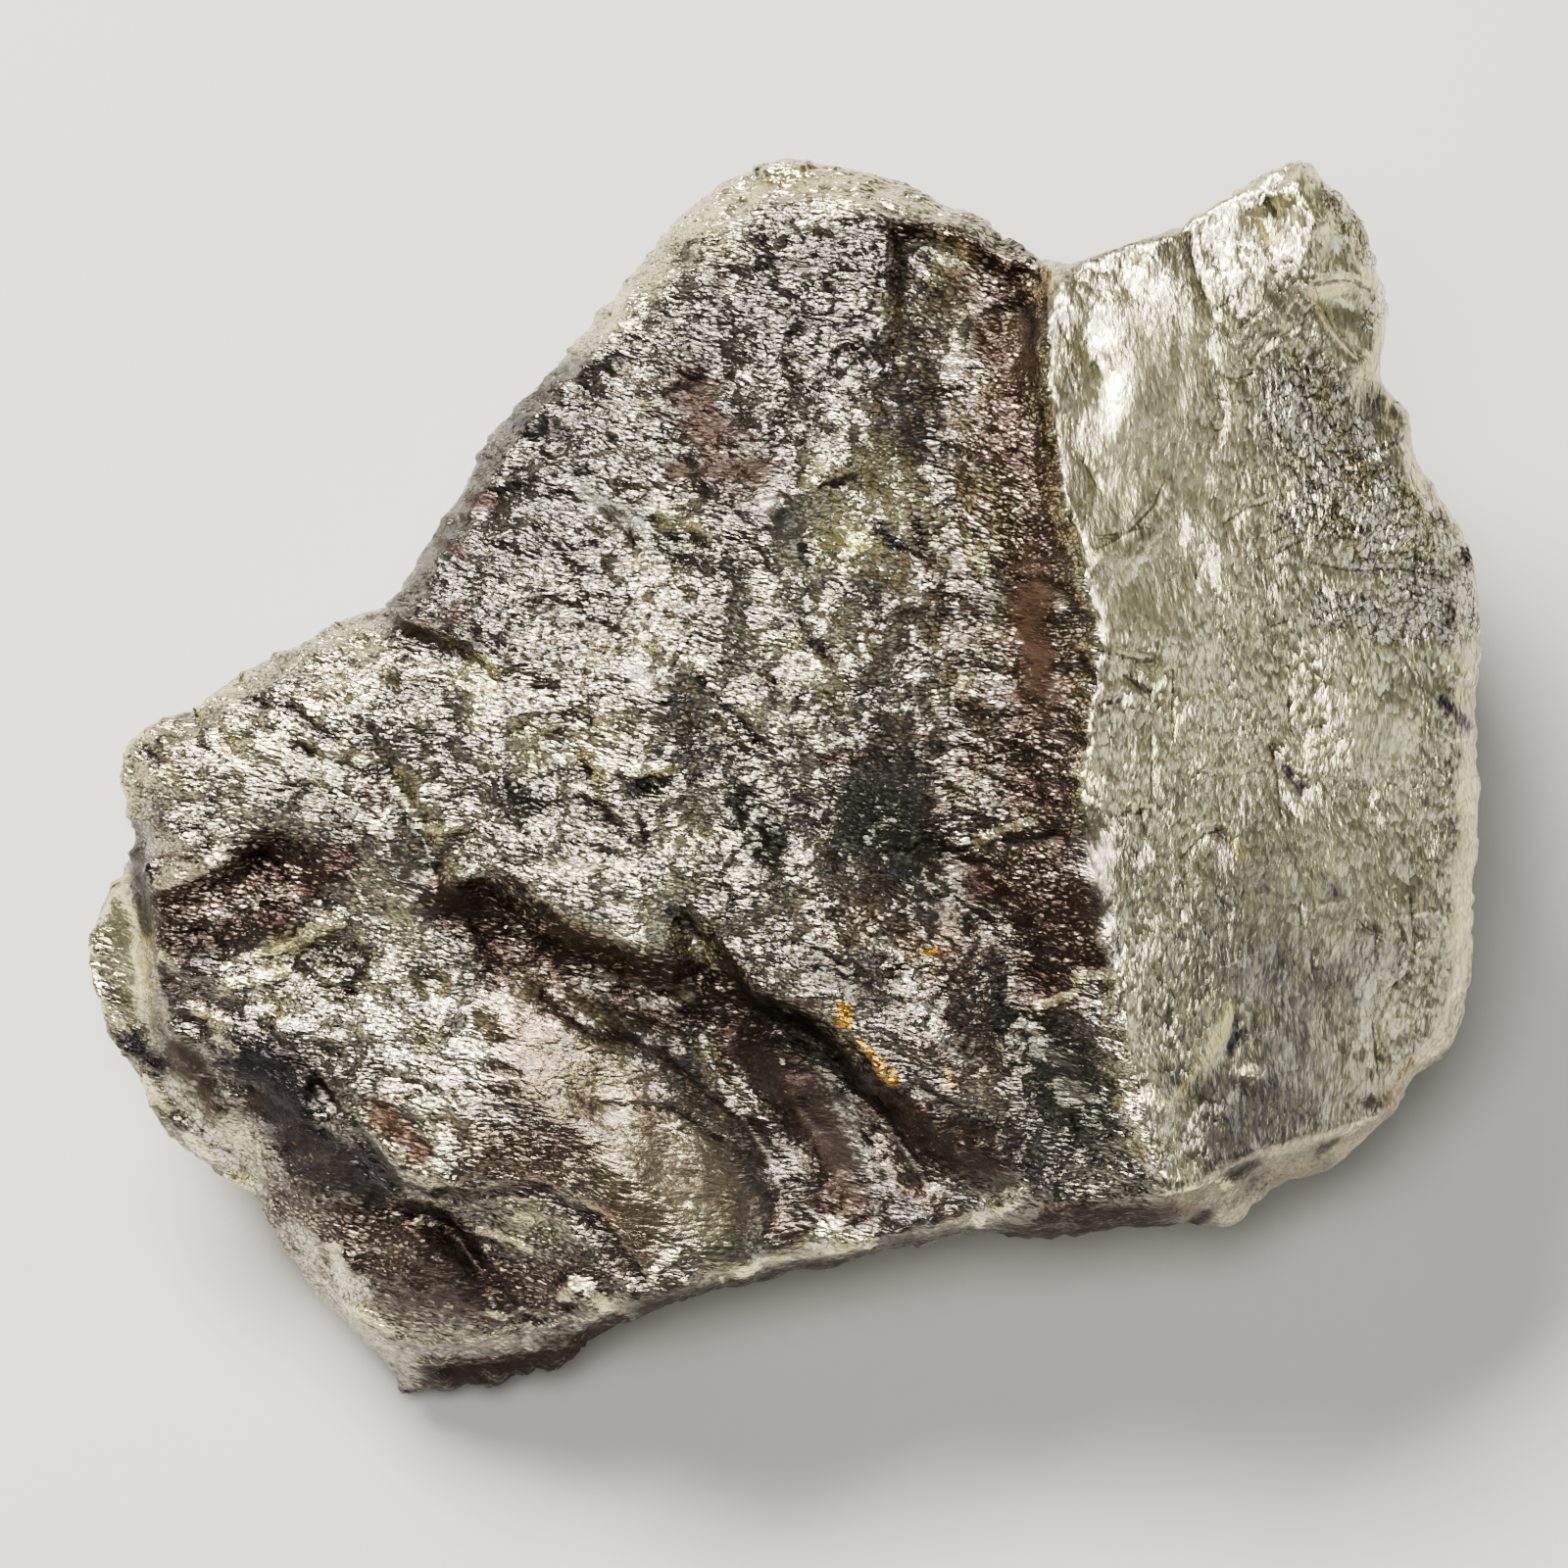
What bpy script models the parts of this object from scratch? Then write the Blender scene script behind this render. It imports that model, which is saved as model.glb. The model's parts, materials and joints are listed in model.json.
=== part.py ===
"""Massive pyrite: one broken lump about 68 mm wide, lying on a flat fracture face.

The broad show face is drawn square on, as u to the right, v up along the face and w out of it,
all in millimetres. The whole lump is then laid back by LEAN, so that the face looks up and a
little to the front (-Y), and it rests on z = 0.
"""

import math

import bpy
from mathutils import Vector, noise
from mathutils.bvhtree import BVHTree
from mathutils.geometry import delaunay_2d_cdt
from mathutils.kdtree import KDTree

MM = 0.001
LEAN = math.radians(20.0)  # how far the show face is tipped up from lying flat
FLOOR_DROP = 23.2  # from the middle of the show face straight down to the resting face
MIDDLE = (0.0, -2.0)  # point of the show face that the wall rings are measured round
FACE_STEP = 1.05  # spacing of the points on the show face
EDGE_STEP = 1.25  # spacing along the rim and along every break
WALL_ROWS = 10  # rows of facets from the rim down to the resting face

# Rim of the show face, clockwise from the left peak: u, v, w.
RIM = [
    (0.9, 30.5, -3.0), (3.3, 29.8, -2.8), (6.8, 28.7, -2.4), (7.8, 27.7, -2.0), (9.6, 27.5, -1.6),
    (10.6, 26.3, -1.0), (12.2, 25.3, 0.4), (13.6, 25.0, 2.6), (18.8, 26.7, 2.4), (21.2, 28.2, 2.0),
    (23.5, 29.6, 1.8), (25.1, 30.2, 1.4), (26.3, 28.7, 1.0), (28.0, 27.0, 0.2), (28.7, 24.9, -0.6),
    (29.3, 23.5, -1.0), (29.1, 21.2, -0.8), (28.8, 19.5, -0.8), (30.1, 17.9, -1.2),
    (30.4, 16.0, -1.4), (31.5, 14.1, -1.5), (33.0, 11.8, -1.9), (33.6, 9.9, -2.0),
    (33.7, 7.0, -2.2), (33.5, 4.7, -2.0), (33.6, -2.4, -1.8), (33.3, -7.0, -2.0),
    (33.1, -9.4, -2.2), (32.7, -11.8, -2.4), (32.0, -12.9, -2.2), (30.3, -14.1, -1.6),
    (29.8, -15.5, -1.8), (29.1, -16.5, -3.0), (27.0, -18.8, -4.4), (23.8, -19.7, -3.8),
    (22.3, -21.4, -4.2), (20.7, -21.6, -4.0), (16.5, -21.7, -3.6), (13.9, -22.1, -3.4),
    (9.4, -21.8, -2.4), (4.7, -22.6, -2.2), (2.5, -23.5, -2.6), (-3.8, -24.7, -3.0),
    (-6.9, -25.6, -3.9), (-9.4, -27.0, -6.2), (-10.5, -28.1, -8.4), (-14.6, -29.4, -11.0),
    (-18.1, -30.4, -12.2), (-19.3, -29.6, -11.4), (-20.2, -28.2, -10.6), (-22.5, -25.9, -9.8),
    (-23.8, -23.5, -9.2), (-25.4, -21.2, -9.0), (-25.9, -19.8, -8.8), (-27.8, -18.8, -8.6),
    (-29.6, -17.6, -8.4), (-30.4, -16.5, -8.2), (-31.4, -14.3, -8.0), (-32.9, -11.8, -7.6),
    (-33.7, -9.4, -7.2), (-33.8, -7.1, -6.8), (-32.7, -4.7, -6.2), (-31.35, -2.8, -4.2),
    (-31.7, -1.9, -3.0), (-32.2, 0.2, -2.6), (-31.9, 1.5, -2.6), (-31.3, 2.4, -2.6),
    (-29.8, 3.3, -2.4), (-28.0, 3.9, -2.2), (-27.4, 4.7, -2.4), (-25.4, 5.9, -2.2),
    (-22.9, 7.1, -2.0), (-21.6, 7.9, -1.9), (-19.4, 8.4, -1.2), (-18.7, 9.4, -1.6),
    (-17.2, 11.8, -2.4), (-15.7, 14.1, -2.8), (-14.1, 16.9, -3.0), (-12.5, 18.8, -3.2),
    (-10.3, 21.2, -3.4), (-8.4, 23.5, -3.6), (-6.5, 25.9, -3.6), (-4.7, 27.7, -3.6),
    (-1.9, 29.6, -3.4), (0.2, 30.5, -3.1),
]

# Breaks across the show face, each a run of u, v, w. Pairs that lie close together are steps.
BREAKS = {
    # The upright ridge, its broken lip, and the foot of it in the dark valley on its left.
    "ridge": [
        (13.2, 24.2, 4.0), (12.6, 21.8, 4.8), (12.6, 18.8, 5.4), (13.1, 15.4, 5.9),
        (13.5, 13.0, 6.3), (14.3, 10.3, 6.5), (15.2, 6.8, 6.6), (14.8, 4.7, 6.4),
        (14.1, 0.2, 6.2), (14.4, -3.3, 6.0), (15.4, -7.1, 5.8), (16.1, -9.4, 5.6),
        (16.4, -12.6, 5.2), (17.3, -17.0, 4.4), (18.2, -19.3, 3.7),
    ],
    "ridge foot": [
        (12.2, 23.9, 1.4), (11.7, 21.8, 1.2), (11.8, 18.8, 2.9), (12.3, 15.4, 4.0),
        (12.6, 13.0, 4.4), (13.3, 10.3, 4.9), (14.1, 6.8, 5.2), (13.8, 4.7, 5.2),
        (13.2, 0.2, 5.1), (13.5, -3.3, 5.0), (14.4, -7.1, 4.9), (15.1, -9.4, 4.8),
        (15.5, -12.6, 4.5), (16.3, -16.8, 3.9), (17.1, -18.9, 3.2),
    ],
    "crevice": [(10.6, 24.3, 0.2), (10.7, 22.4, -0.3), (11.0, 20.4, 1.0)],
    "valley": [
        (7.4, 22.0, 0.3), (8.0, 17.0, 1.1), (8.4, 12.0, 1.8), (8.6, 7.0, 2.3), (7.9, 2.2, 2.5),
        (7.0, -2.6, 1.7), (9.6, -6.6, 2.8), (12.2, -11.5, 2.9), (13.6, -16.0, 2.6),
    ],
    # The rounded upper rim of the middle face, and the hollow tucked under its right half.
    "upper rim": [
        (-4.2, 26.2, -0.9), (-1.2, 27.9, -0.4), (2.2, 28.3, 0.1), (5.1, 27.2, 0.8),
        (8.0, 26.4, 0.9), (9.9, 25.5, 1.0), (11.1, 24.9, 1.2),
    ],
    "under the rim": [(5.7, 26.1, -0.3), (8.0, 25.5, -0.7), (9.5, 24.7, -0.5)],
    "left of the hollow": [(5.0, 26.2, 0.9), (4.9, 23.0, 1.5), (4.5, 20.5, 1.8), (4.2, 16.5, 2.3)],
    "hollow edge": [(5.7, 24.9, 0.1), (5.7, 22.6, 0.6), (5.4, 20.5, 1.1)],
    # The worn bevel down the left flank of the middle face.
    "left bevel": [
        (-5.6, 25.0, -1.4), (-7.3, 22.9, -1.3), (-9.3, 20.6, -1.0), (-11.3, 18.4, -0.8),
        (-13.0, 16.4, -0.6), (-14.5, 13.8, -0.4), (-16.0, 11.5, -0.1), (-17.4, 9.3, 0.5),
    ],
    # Swells, dents and flakes of the middle face.
    "crest": [
        (-1.4, 24.2, 0.8), (-0.8, 20.0, 2.2), (-0.9, 16.5, 2.9), (-3.4, 13.3, 3.3),
        (-2.6, 8.4, 3.8), (-3.1, 5.8, 4.2),
    ],
    "lower crest": [(-6.0, -1.2, 4.7), (-7.4, -2.6, 4.9), (-6.4, -6.4, 4.6)],
    "brown dent": [(-5.4, 19.6, 0.9), (-4.4, 16.6, 1.3), (-4.8, 14.8, 1.8)],
    "slanting groove": [(-10.2, 14.3, 0.9), (-7.6, 12.6, 1.6), (-4.6, 11.0, 2.7)],
    "curved flake": [(-0.5, 10.6, 4.0), (-0.6, 12.6, 4.1), (0.7, 13.9, 4.0), (3.2, 14.9, 3.4)],
    "flake foot": [(0.5, 10.4, 3.2), (0.5, 12.2, 3.2), (1.5, 13.2, 3.1), (3.3, 14.1, 2.7)],
    "small step": [(-7.6, 4.0, 4.5), (-5.6, 3.5, 4.7), (-3.6, 4.3, 4.5), (-1.6, 2.4, 4.2)],
    "small step foot": [(-7.4, 3.2, 3.9), (-5.2, 2.5, 3.9), (-3.4, 3.3, 3.8), (-1.6, 1.5, 3.7)],
    "pits": [(-10.3, 2.3, 3.2), (-9.7, 0.5, 3.3), (-8.6, -1.8, 3.9)],
    "long pit": [(-7.4, 0.2, 3.9), (-5.2, 0.0, 3.8)],
    "swell": [(-13.2, 3.0, 3.4), (-13.6, -0.6, 3.6), (-12.2, -3.2, 3.8), (-9.0, -6.0, 4.3)],
    "lower middle": [(1.2, -1.0, 3.5), (1.6, -5.0, 3.8), (2.4, -8.8, 4.0), (6.4, -12.0, 4.0)],
    "green hollow": [(3.6, -2.0, 2.6), (5.0, -4.2, 2.5), (6.4, -4.5, 2.3)],
    # The overhanging lower edges of the middle face, and the foot of each in the hollow below.
    "first edge": [
        (-15.6, -4.6, 2.9), (-14.2, -4.0, 3.3), (-12.4, -4.6, 3.6), (-11.1, -6.1, 3.9),
        (-8.6, -7.4, 4.2), (-6.6, -8.3, 4.3), (-4.9, -8.6, 4.1),
    ],
    "first foot": [
        (-15.8, -5.9, 1.0), (-14.2, -5.4, 0.9), (-12.8, -6.0, 0.8), (-11.5, -7.4, 0.7),
        (-9.0, -8.6, 0.5), (-6.8, -9.4, 0.5), (-5.2, -9.8, 0.4),
    ],
    "cleft": [(-4.9, -6.2, 3.6), (-4.2, -7.6, 2.2), (-3.9, -9.0, 0.8)],
    "second edge": [
        (-3.6, -6.4, 4.4), (-2.6, -8.2, 4.3), (-1.4, -9.6, 4.2), (1.6, -10.8, 4.1),
        (3.4, -12.4, 4.0), (5.4, -14.7, 3.8), (7.8, -17.0, 3.4), (10.2, -18.6, 2.8),
    ],
    "second foot": [
        (-2.5, -10.6, 0.6), (0.9, -12.0, 0.0), (2.6, -13.6, -0.2), (4.6, -15.9, -0.1),
        (7.0, -18.2, 0.3), (9.4, -19.6, 0.7),
    ],
    # The dark hollow, with its soft ribs spreading down to the right.
    "hollow floor": [(-13.4, -8.6, 0.4), (-9.4, -10.2, 0.1), (-5.6, -11.4, -0.2)],
    "rib one": [(-2.6, -13.0, 0.4), (-0.9, -15.6, 0.3), (1.4, -18.2, 0.5)],
    "groove one": [(-0.9, -13.2, -0.7), (0.8, -15.6, -0.8), (2.9, -18.0, -0.5)],
    "rib two": [(1.4, -14.6, 0.2), (3.2, -17.0, 0.2), (5.2, -19.3, 0.5)],
    "groove two": [(-3.8, -12.4, -0.3), (-2.7, -15.0, -0.3), (-0.6, -18.2, -0.2)],
    # The smooth lower face, and the brow along the front of the lump.
    "smooth top": [
        (-14.2, -11.0, 1.5), (-12.6, -10.7, 1.8), (-10.2, -11.2, 1.8), (-7.6, -12.6, 1.6),
        (-5.4, -13.4, 1.4), (-4.2, -15.6, 1.2), (-2.4, -18.6, 0.9), (-0.6, -20.8, 0.7),
    ],
    "smooth middle": [(-12.6, -14.2, 2.0), (-9.4, -16.4, 2.2), (-6.8, -19.4, 1.8), (-4.6, -22.0, 1.2)],
    "brow": [
        (-7.4, -24.9, 0.2), (-5.0, -24.2, 0.6), (-1.8, -23.4, 0.5), (2.2, -22.2, 0.6),
        (5.4, -21.6, 0.6), (9.2, -21.0, 0.5), (12.4, -20.7, 1.4), (15.6, -20.2, 2.4),
        (18.0, -19.9, 3.2),
    ],
    # Edge of the smooth face above the dark lower left side, and the crack under it.
    "corner edge": [
        (-27.6, -12.2, -2.6), (-25.4, -12.4, -2.0), (-23.6, -13.0, -1.4), (-21.6, -14.6, -0.6),
        (-20.2, -16.4, -0.1), (-18.6, -18.2, 0.1), (-15.6, -19.1, 0.4), (-12.6, -19.4, 0.9),
        (-10.6, -20.6, 1.0), (-9.4, -22.6, 0.6), (-8.8, -24.2, 0.2),
    ],
    "side crack": [
        (-28.4, -15.6, -5.9), (-25.4, -17.6, -4.9), (-22.6, -19.4, -3.8), (-19.6, -20.2, -3.0),
        (-17.2, -20.9, -2.8), (-15.6, -22.2, -2.8), (-14.4, -23.6, -2.7),
    ],
    "crack lip": [(-17.4, -21.9, -1.7), (-16.2, -22.9, -1.8), (-15.2, -24.3, -2.2)],
    "side rib": [(-12.8, -21.2, -0.6), (-11.6, -22.8, -1.2), (-11.2, -24.0, -1.6)],
    "bright lump": [(-10.4, -24.0, 0.2), (-9.4, -24.7, 0.2)],
    "rough side": [(-21.6, -22.2, -4.7), (-20.0, -23.6, -4.3), (-17.6, -24.6, -3.8)],
    "rust brow": [
        (-20.4, -26.2, -6.6), (-18.4, -27.2, -6.4), (-16.2, -27.0, -5.6), (-13.8, -26.7, -4.6),
        (-11.2, -26.1, -3.4), (-9.0, -25.7, -2.0),
    ],
    "left rim": [
        (-29.6, -14.9, -6.8), (-28.0, -16.9, -6.9), (-26.0, -18.2, -6.9), (-24.2, -20.4, -6.9),
        (-22.8, -23.0, -7.2), (-21.4, -25.4, -7.8),
    ],
    # The left block: its ledge, end step, shingled dark patch and bright band.
    "seam": [(-18.6, 8.2, 1.5), (-17.2, 7.4, 2.2), (-15.0, 6.6, 2.7), (-13.3, 5.6, 3.1)],
    "seam foot": [(-18.9, 7.5, 0.5), (-17.3, 6.7, 1.1), (-15.3, 5.9, 1.7), (-13.9, 5.0, 2.4)],
    "ledge bevel": [
        (-30.6, 0.9, -0.9), (-28.6, 2.2, -0.5), (-26.2, 3.9, -0.3), (-24.0, 5.2, -0.2),
        (-21.6, 6.6, -0.1),
    ],
    "ledge middle": [(-27.6, 0.6, 0.3), (-23.8, 2.2, 0.9), (-20.8, 3.2, 1.6), (-16.4, 3.4, 2.6)],
    "block crack": [(-19.6, 1.6, 1.5), (-18.3, -0.1, 1.5), (-17.0, -2.3, 1.7), (-16.5, -4.4, 1.6)],
    "block lip": [(-18.9, 1.9, 2.3), (-17.4, 0.0, 2.5), (-16.1, -2.3, 2.9)],
    "patch top": [(-30.4, -2.2, -1.0), (-27.4, -1.4, -0.1), (-24.4, -1.6, 0.3), (-21.4, -0.8, 0.9)],
    "pad": [(-18.9, -3.0, 2.2), (-18.5, -5.0, 2.2)],
    "pad foot": [(-20.3, -3.4, 1.0), (-20.1, -5.8, 0.8), (-18.4, -6.9, 0.7)],
    "bright plate": [(-29.4, -4.7, -1.0), (-27.6, -3.7, -0.5), (-26.2, -3.4, -0.4)],
    "plate foot": [(-29.0, -5.6, -2.2), (-26.4, -4.6, -1.6), (-24.6, -3.4, -1.2)],
    "white block": [(-24.2, -7.0, -0.6), (-22.6, -6.2, -0.2), (-21.4, -6.6, -0.1)],
    "white foot": [(-24.6, -8.0, -2.4), (-22.4, -7.6, -1.8), (-20.8, -7.6, -1.0)],
    "shingle": [(-29.0, -8.8, -2.8), (-27.0, -9.2, -2.0), (-25.0, -8.9, -1.5)],
    "shingle foot": [(-28.6, -10.3, -3.5), (-26.6, -10.6, -2.8), (-24.8, -10.2, -2.4)],
    "band top": [(-23.4, -10.0, -1.2), (-20.4, -10.0, -0.2), (-17.8, -9.8, 0.5), (-15.8, -9.6, 1.1)],
    "band middle": [(-24.0, -11.6, -1.3), (-21.2, -12.4, -0.5), (-18.0, -13.4, 0.6), (-15.6, -15.4, 1.3)],
    "end step": [(-30.8, -4.0, -2.0), (-30.4, -6.8, -2.6), (-30.2, -9.6, -3.2), (-29.8, -12.0, -4.0)],
    "end foot": [(-31.5, -4.4, -5.2), (-31.2, -6.9, -5.9), (-30.9, -9.8, -6.4), (-30.4, -12.6, -6.7)],
    # The right face: knob, chip, fissure, tear, vein and the bevel at its outer edge.
    "knob": [(22.6, 27.8, 2.8), (24.4, 28.6, 3.0), (25.4, 27.0, 3.1), (25.0, 25.2, 3.0)],
    "knob pit": [(21.6, 27.2, 2.1), (22.8, 27.0, 1.9)],
    "knob right": [(26.8, 26.4, 1.9), (27.6, 24.8, 1.4)],
    "chip brow": [(25.7, 24.1, 2.6), (26.8, 24.3, 2.1), (28.3, 24.1, 1.2)],
    "chip foot": [(26.0, 23.3, 1.2), (27.0, 23.5, 0.8), (28.4, 23.2, 0.2)],
    "chip left": [(25.4, 22.6, 2.4), (26.4, 21.2, 2.2), (27.5, 20.0, 1.7)],
    "chip floor": [(26.5, 22.2, 1.0), (27.6, 20.9, 0.6)],
    "fissure": [(26.4, 15.9, 1.6), (28.0, 16.1, 0.9), (29.6, 16.7, -0.2)],
    "under fissure": [(26.6, 15.1, 2.1), (28.4, 15.3, 1.5), (29.8, 15.7, 0.5)],
    "right bevel": [
        (30.2, 13.9, 0.9), (31.2, 11.4, 0.4), (32.1, 8.6, 0.1), (32.3, 3.4, 0.2),
        (32.4, -2.4, 0.4), (32.1, -7.6, 0.2), (31.6, -11.4, 0.0), (29.8, -13.3, 0.4),
    ],
    "face upper": [(16.4, 22.6, 4.3), (20.2, 22.0, 3.6), (23.2, 22.4, 3.2)],
    "face middle": [(17.6, 12.6, 5.2), (21.6, 9.0, 4.4), (26.0, 9.6, 3.0), (28.6, 7.8, 2.0)],
    "face lip": [(16.6, 6.4, 6.1), (17.8, 6.0, 5.9)],
    "lip foot": [(16.7, 5.4, 5.4), (17.6, 5.0, 5.2)],
    "tear": [(23.6, 1.8, 3.0), (24.1, 0.2, 2.7), (24.4, -1.4, 2.9)],
    "knoll": [(27.2, 3.8, 2.7), (28.4, 2.2, 2.3)],
    "face lower": [(17.6, -2.6, 5.1), (21.8, -5.6, 4.2), (26.4, -6.4, 2.9), (29.4, -6.2, 1.8)],
    "vein": [(21.3, -10.4, 4.4), (20.4, -12.4, 4.4), (19.0, -14.2, 4.4), (17.4, -15.0, 4.6)],
    "vein foot": [(22.2, -10.8, 3.6), (21.2, -12.8, 3.6), (19.8, -14.8, 3.7), (18.4, -16.2, 3.8)],
    # Lower edge of the right face, and the dark lumpy layer set back under it.
    "face foot": [
        (18.8, -19.5, 3.4), (20.6, -18.9, 3.1), (22.8, -17.8, 2.7), (25.6, -17.1, 1.9),
        (28.2, -16.3, 0.9), (29.2, -15.4, 0.2),
    ],
    "layer top": [
        (15.8, -20.9, 0.2), (18.4, -20.6, 0.4), (20.9, -19.8, 0.0), (22.9, -18.6, -0.4),
        (25.7, -17.9, -1.0), (28.0, -17.1, -1.8),
    ],
    "layer lumps": [(17.2, -21.2, -1.4), (19.6, -20.8, -1.2), (21.6, -20.4, -0.9)],
}

# Walls behind the rim: angle round MIDDLE in degrees, share of the rim's reach, and depth w.
BELLY = [
    (-180, 0.94, -13.0), (-160, 0.93, -12.6), (-140, 0.94, -13.0), (-122, 0.96, -13.4),
    (-110, 0.90, -11.2), (-90, 0.90, -9.5), (-62, 0.90, -9.0), (-40, 0.93, -9.5),
    (-20, 0.96, -10.0), (0, 0.98, -12.0), (20, 0.99, -15.0), (40, 1.00, -17.5),
    (60, 1.00, -18.5), (78, 1.00, -19.5), (90, 0.99, -18.0), (110, 0.97, -15.5),
    (130, 0.95, -15.0), (150, 0.94, -13.5), (165, 0.94, -12.5), (180, 0.94, -13.0),
]
# The resting face: angle round MIDDLE and share of the rim's reach.
BASE = [
    (-180, 0.84), (-160, 0.85), (-140, 0.87), (-122, 0.92), (-110, 0.84), (-90, 0.80),
    (-62, 0.76), (-40, 0.80), (-20, 0.84), (0, 0.85), (20, 0.80), (40, 0.72),
    (60, 0.68), (78, 0.66), (90, 0.65), (110, 0.68), (130, 0.72), (150, 0.78),
    (165, 0.82), (180, 0.84),
]
# Flat fractures that cut the walls: a point on each, and the way it faces, above the floor.
FRACTURES = [
    ("back left", (-12.0, 22.0, 14.0), (-0.74, 0.65, -0.16)),
    ("back middle, lower", (-1.0, 29.4, 8.0), (-0.14, 0.90, -0.42)),
    ("back middle, upper", (3.0, 31.0, 20.0), (-0.10, 0.97, 0.20)),
    ("back right", (25.0, 26.6, 14.0), (0.50, 0.86, -0.10)),
    ("right, upper", (32.8, 8.0, 14.0), (0.97, 0.20, 0.14)),
    ("right, lower", (31.0, 2.0, 7.0), (0.90, -0.04, -0.43)),
    ("right front", (28.0, -9.0, 6.0), (0.80, -0.50, -0.33)),
    ("front", (10.0, -15.4, 5.0), (0.28, -0.85, -0.44)),
    ("front left", (-12.0, -20.4, 2.0), (-0.10, -0.80, -0.59)),
    ("left", (-28.6, -3.0, 6.0), (-0.88, 0.12, -0.46)),
    ("left front", (-25.0, -13.0, 4.0), (-0.72, -0.55, -0.42)),
]


def lay_back(u, v, w):
    """A point of the show face's own axes in the lump's resting position, z above the floor."""
    across = v * math.cos(LEAN) - w * math.sin(LEAN)
    up = v * math.sin(LEAN) + w * math.cos(LEAN) + FLOOR_DROP
    return Vector((u, across, up))


def floor_depth(v):
    """Depth w at which the resting face cuts a line through v."""
    return -(FLOOR_DROP + v * math.sin(LEAN)) / math.cos(LEAN)


def ragged(point):
    """The same point of the show face, pushed a little sideways, as broken edges wander."""
    place = Vector((point[0], point[1], 3.0))
    push = 0.16 * noise.noise_vector(place / 3.1) + 0.12 * noise.noise_vector(place / 1.3)
    return Vector((point[0] + push.x, point[1] + push.y, point[2]))


def chip_height(place, size, slope):
    """Height of small flat chips: every cell of a loose grid tips its own way."""
    cell = noise.voronoi(place / size)[1][0]
    tip = noise.noise_vector(cell * 5.7 + Vector((0.37, 1.91, 4.13)))
    return slope * tip.dot(place - cell * size)


def resample(line, step, closed=False):
    """Points along a run at about the given spacing, with every corner kept."""
    ends = line[1:] + line[:1] if closed else line[1:]
    out = []
    for start, end in zip(line, ends):
        start = Vector(start)
        end = Vector(end)
        parts = max(1, round((end - start).xy.length / step))
        out += [start.lerp(end, i / parts) for i in range(parts)]
    if not closed:
        out.append(Vector(line[-1]))
    return out


def runs_of(step):
    """The rim and the breaks, with their points at the given spacing, and the edges joining them."""
    points = [ragged(p) for p in resample(RIM, step, closed=True)]
    rim_count = len(points)
    edges = [(i, (i + 1) % rim_count) for i in range(rim_count)]
    for line in BREAKS.values():
        first = len(points)
        points += [ragged(p) for p in resample(line, step)]
        edges += [(i, i + 1) for i in range(first, len(points) - 1)]
    return points, edges, rim_count


def triangles(points, edges):
    """Triangles over the points inside the rim, in terms of the points handed in."""
    flat = [p.xy for p in points]
    _, _, faces, origins, _, _ = delaunay_2d_cdt(flat, edges, [], 1, 1e-5)
    if any(not o for o in origins):
        raise ValueError("two breaks cross")
    return [tuple(origins[i][0] for i in face) for face in faces]


def inside_points(tree, taken):
    """A loose grid of points over the show face, clear of the rim and the breaks."""
    found = []
    rows = int(62 / (FACE_STEP * 0.866)) + 2
    columns = int(70 / FACE_STEP) + 2
    for row in range(rows):
        for column in range(columns):
            u = -35.0 + FACE_STEP * (column + 0.5 * (row % 2))
            v = -31.0 + FACE_STEP * 0.866 * row
            shift = 0.3 * FACE_STEP * noise.noise_vector(Vector((u, v, 9.0)) * 2.3)
            place = Vector((u + shift.x, v + shift.y, 0.0))
            if taken.find(place)[2] < 0.62 * FACE_STEP:
                continue
            hit = tree.ray_cast(place + Vector((0, 0, 50)), Vector((0, 0, -1)))[0]
            if hit is not None:
                found.append(hit)
    return found


def relax(points, faces, fixed, rounds):
    """Rounds off the straight spans between breaks: each free point moves to the mean of its neighbours."""
    around = [set() for _ in points]
    for a, b, c in faces:
        around[a] |= {b, c}
        around[b] |= {a, c}
        around[c] |= {a, b}
    for _ in range(rounds):
        means = [sum(points[j].z for j in near) / len(near) if near else 0 for near in around]
        for i in range(fixed, len(points)):
            if around[i]:
                points[i].z = 0.5 * (points[i].z + means[i])


def face_relief(point):
    """Lumps and chips of the show face at one point. The right and lower left faces are calmer."""
    place = Vector((point.x, point.y, 0.0))
    calm = 1.0
    if point.x > 15.5 and point.y < 22.0:
        calm = 0.45
    if (place - Vector((-7.5, -18.0, 0.0))).length < 7.0:
        calm = 0.35
    lumps = 0.55 * noise.noise(place / 6.5) + 0.30 * noise.noise(place / 2.6 + Vector((7, 3, 1)))
    return calm * (lumps + chip_height(place, 3.6, 0.30) + chip_height(place, 1.9, 0.26))


def table_at(table, angle):
    """The rows of a table of angles, blended at one angle."""
    for low, high in zip(table, table[1:]):
        if low[0] <= angle <= high[0]:
            share = (angle - low[0]) / (high[0] - low[0])
            return [a + share * (b - a) for a, b in zip(low[1:], high[1:])]
    raise ValueError("angle outside the table")


def reach_of(u, v):
    """Angle in degrees and distance from MIDDLE, across the show face."""
    return math.degrees(math.atan2(v - MIDDLE[1], u - MIDDLE[0])), math.dist((u, v), MIDDLE)


def rim_table(rim):
    """The rim as rows of angle and reach, closed at both ends."""
    rows = sorted(reach_of(p.x, p.y) for p in rim)
    first = (rows[0][0] + 360.0, rows[0][1])
    last = (rows[-1][0] - 360.0, rows[-1][1])
    return [last] + rows + [first]


def smooth_reach(reaches, angle):
    """The rim's reach with its small bays filled in, averaged over the arc around an angle."""
    arc = [(angle + 4.0 * k + 180.0) % 360.0 - 180.0 for k in range(-5, 6)]
    return sum(table_at(reaches, a)[0] for a in arc) / len(arc)


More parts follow.
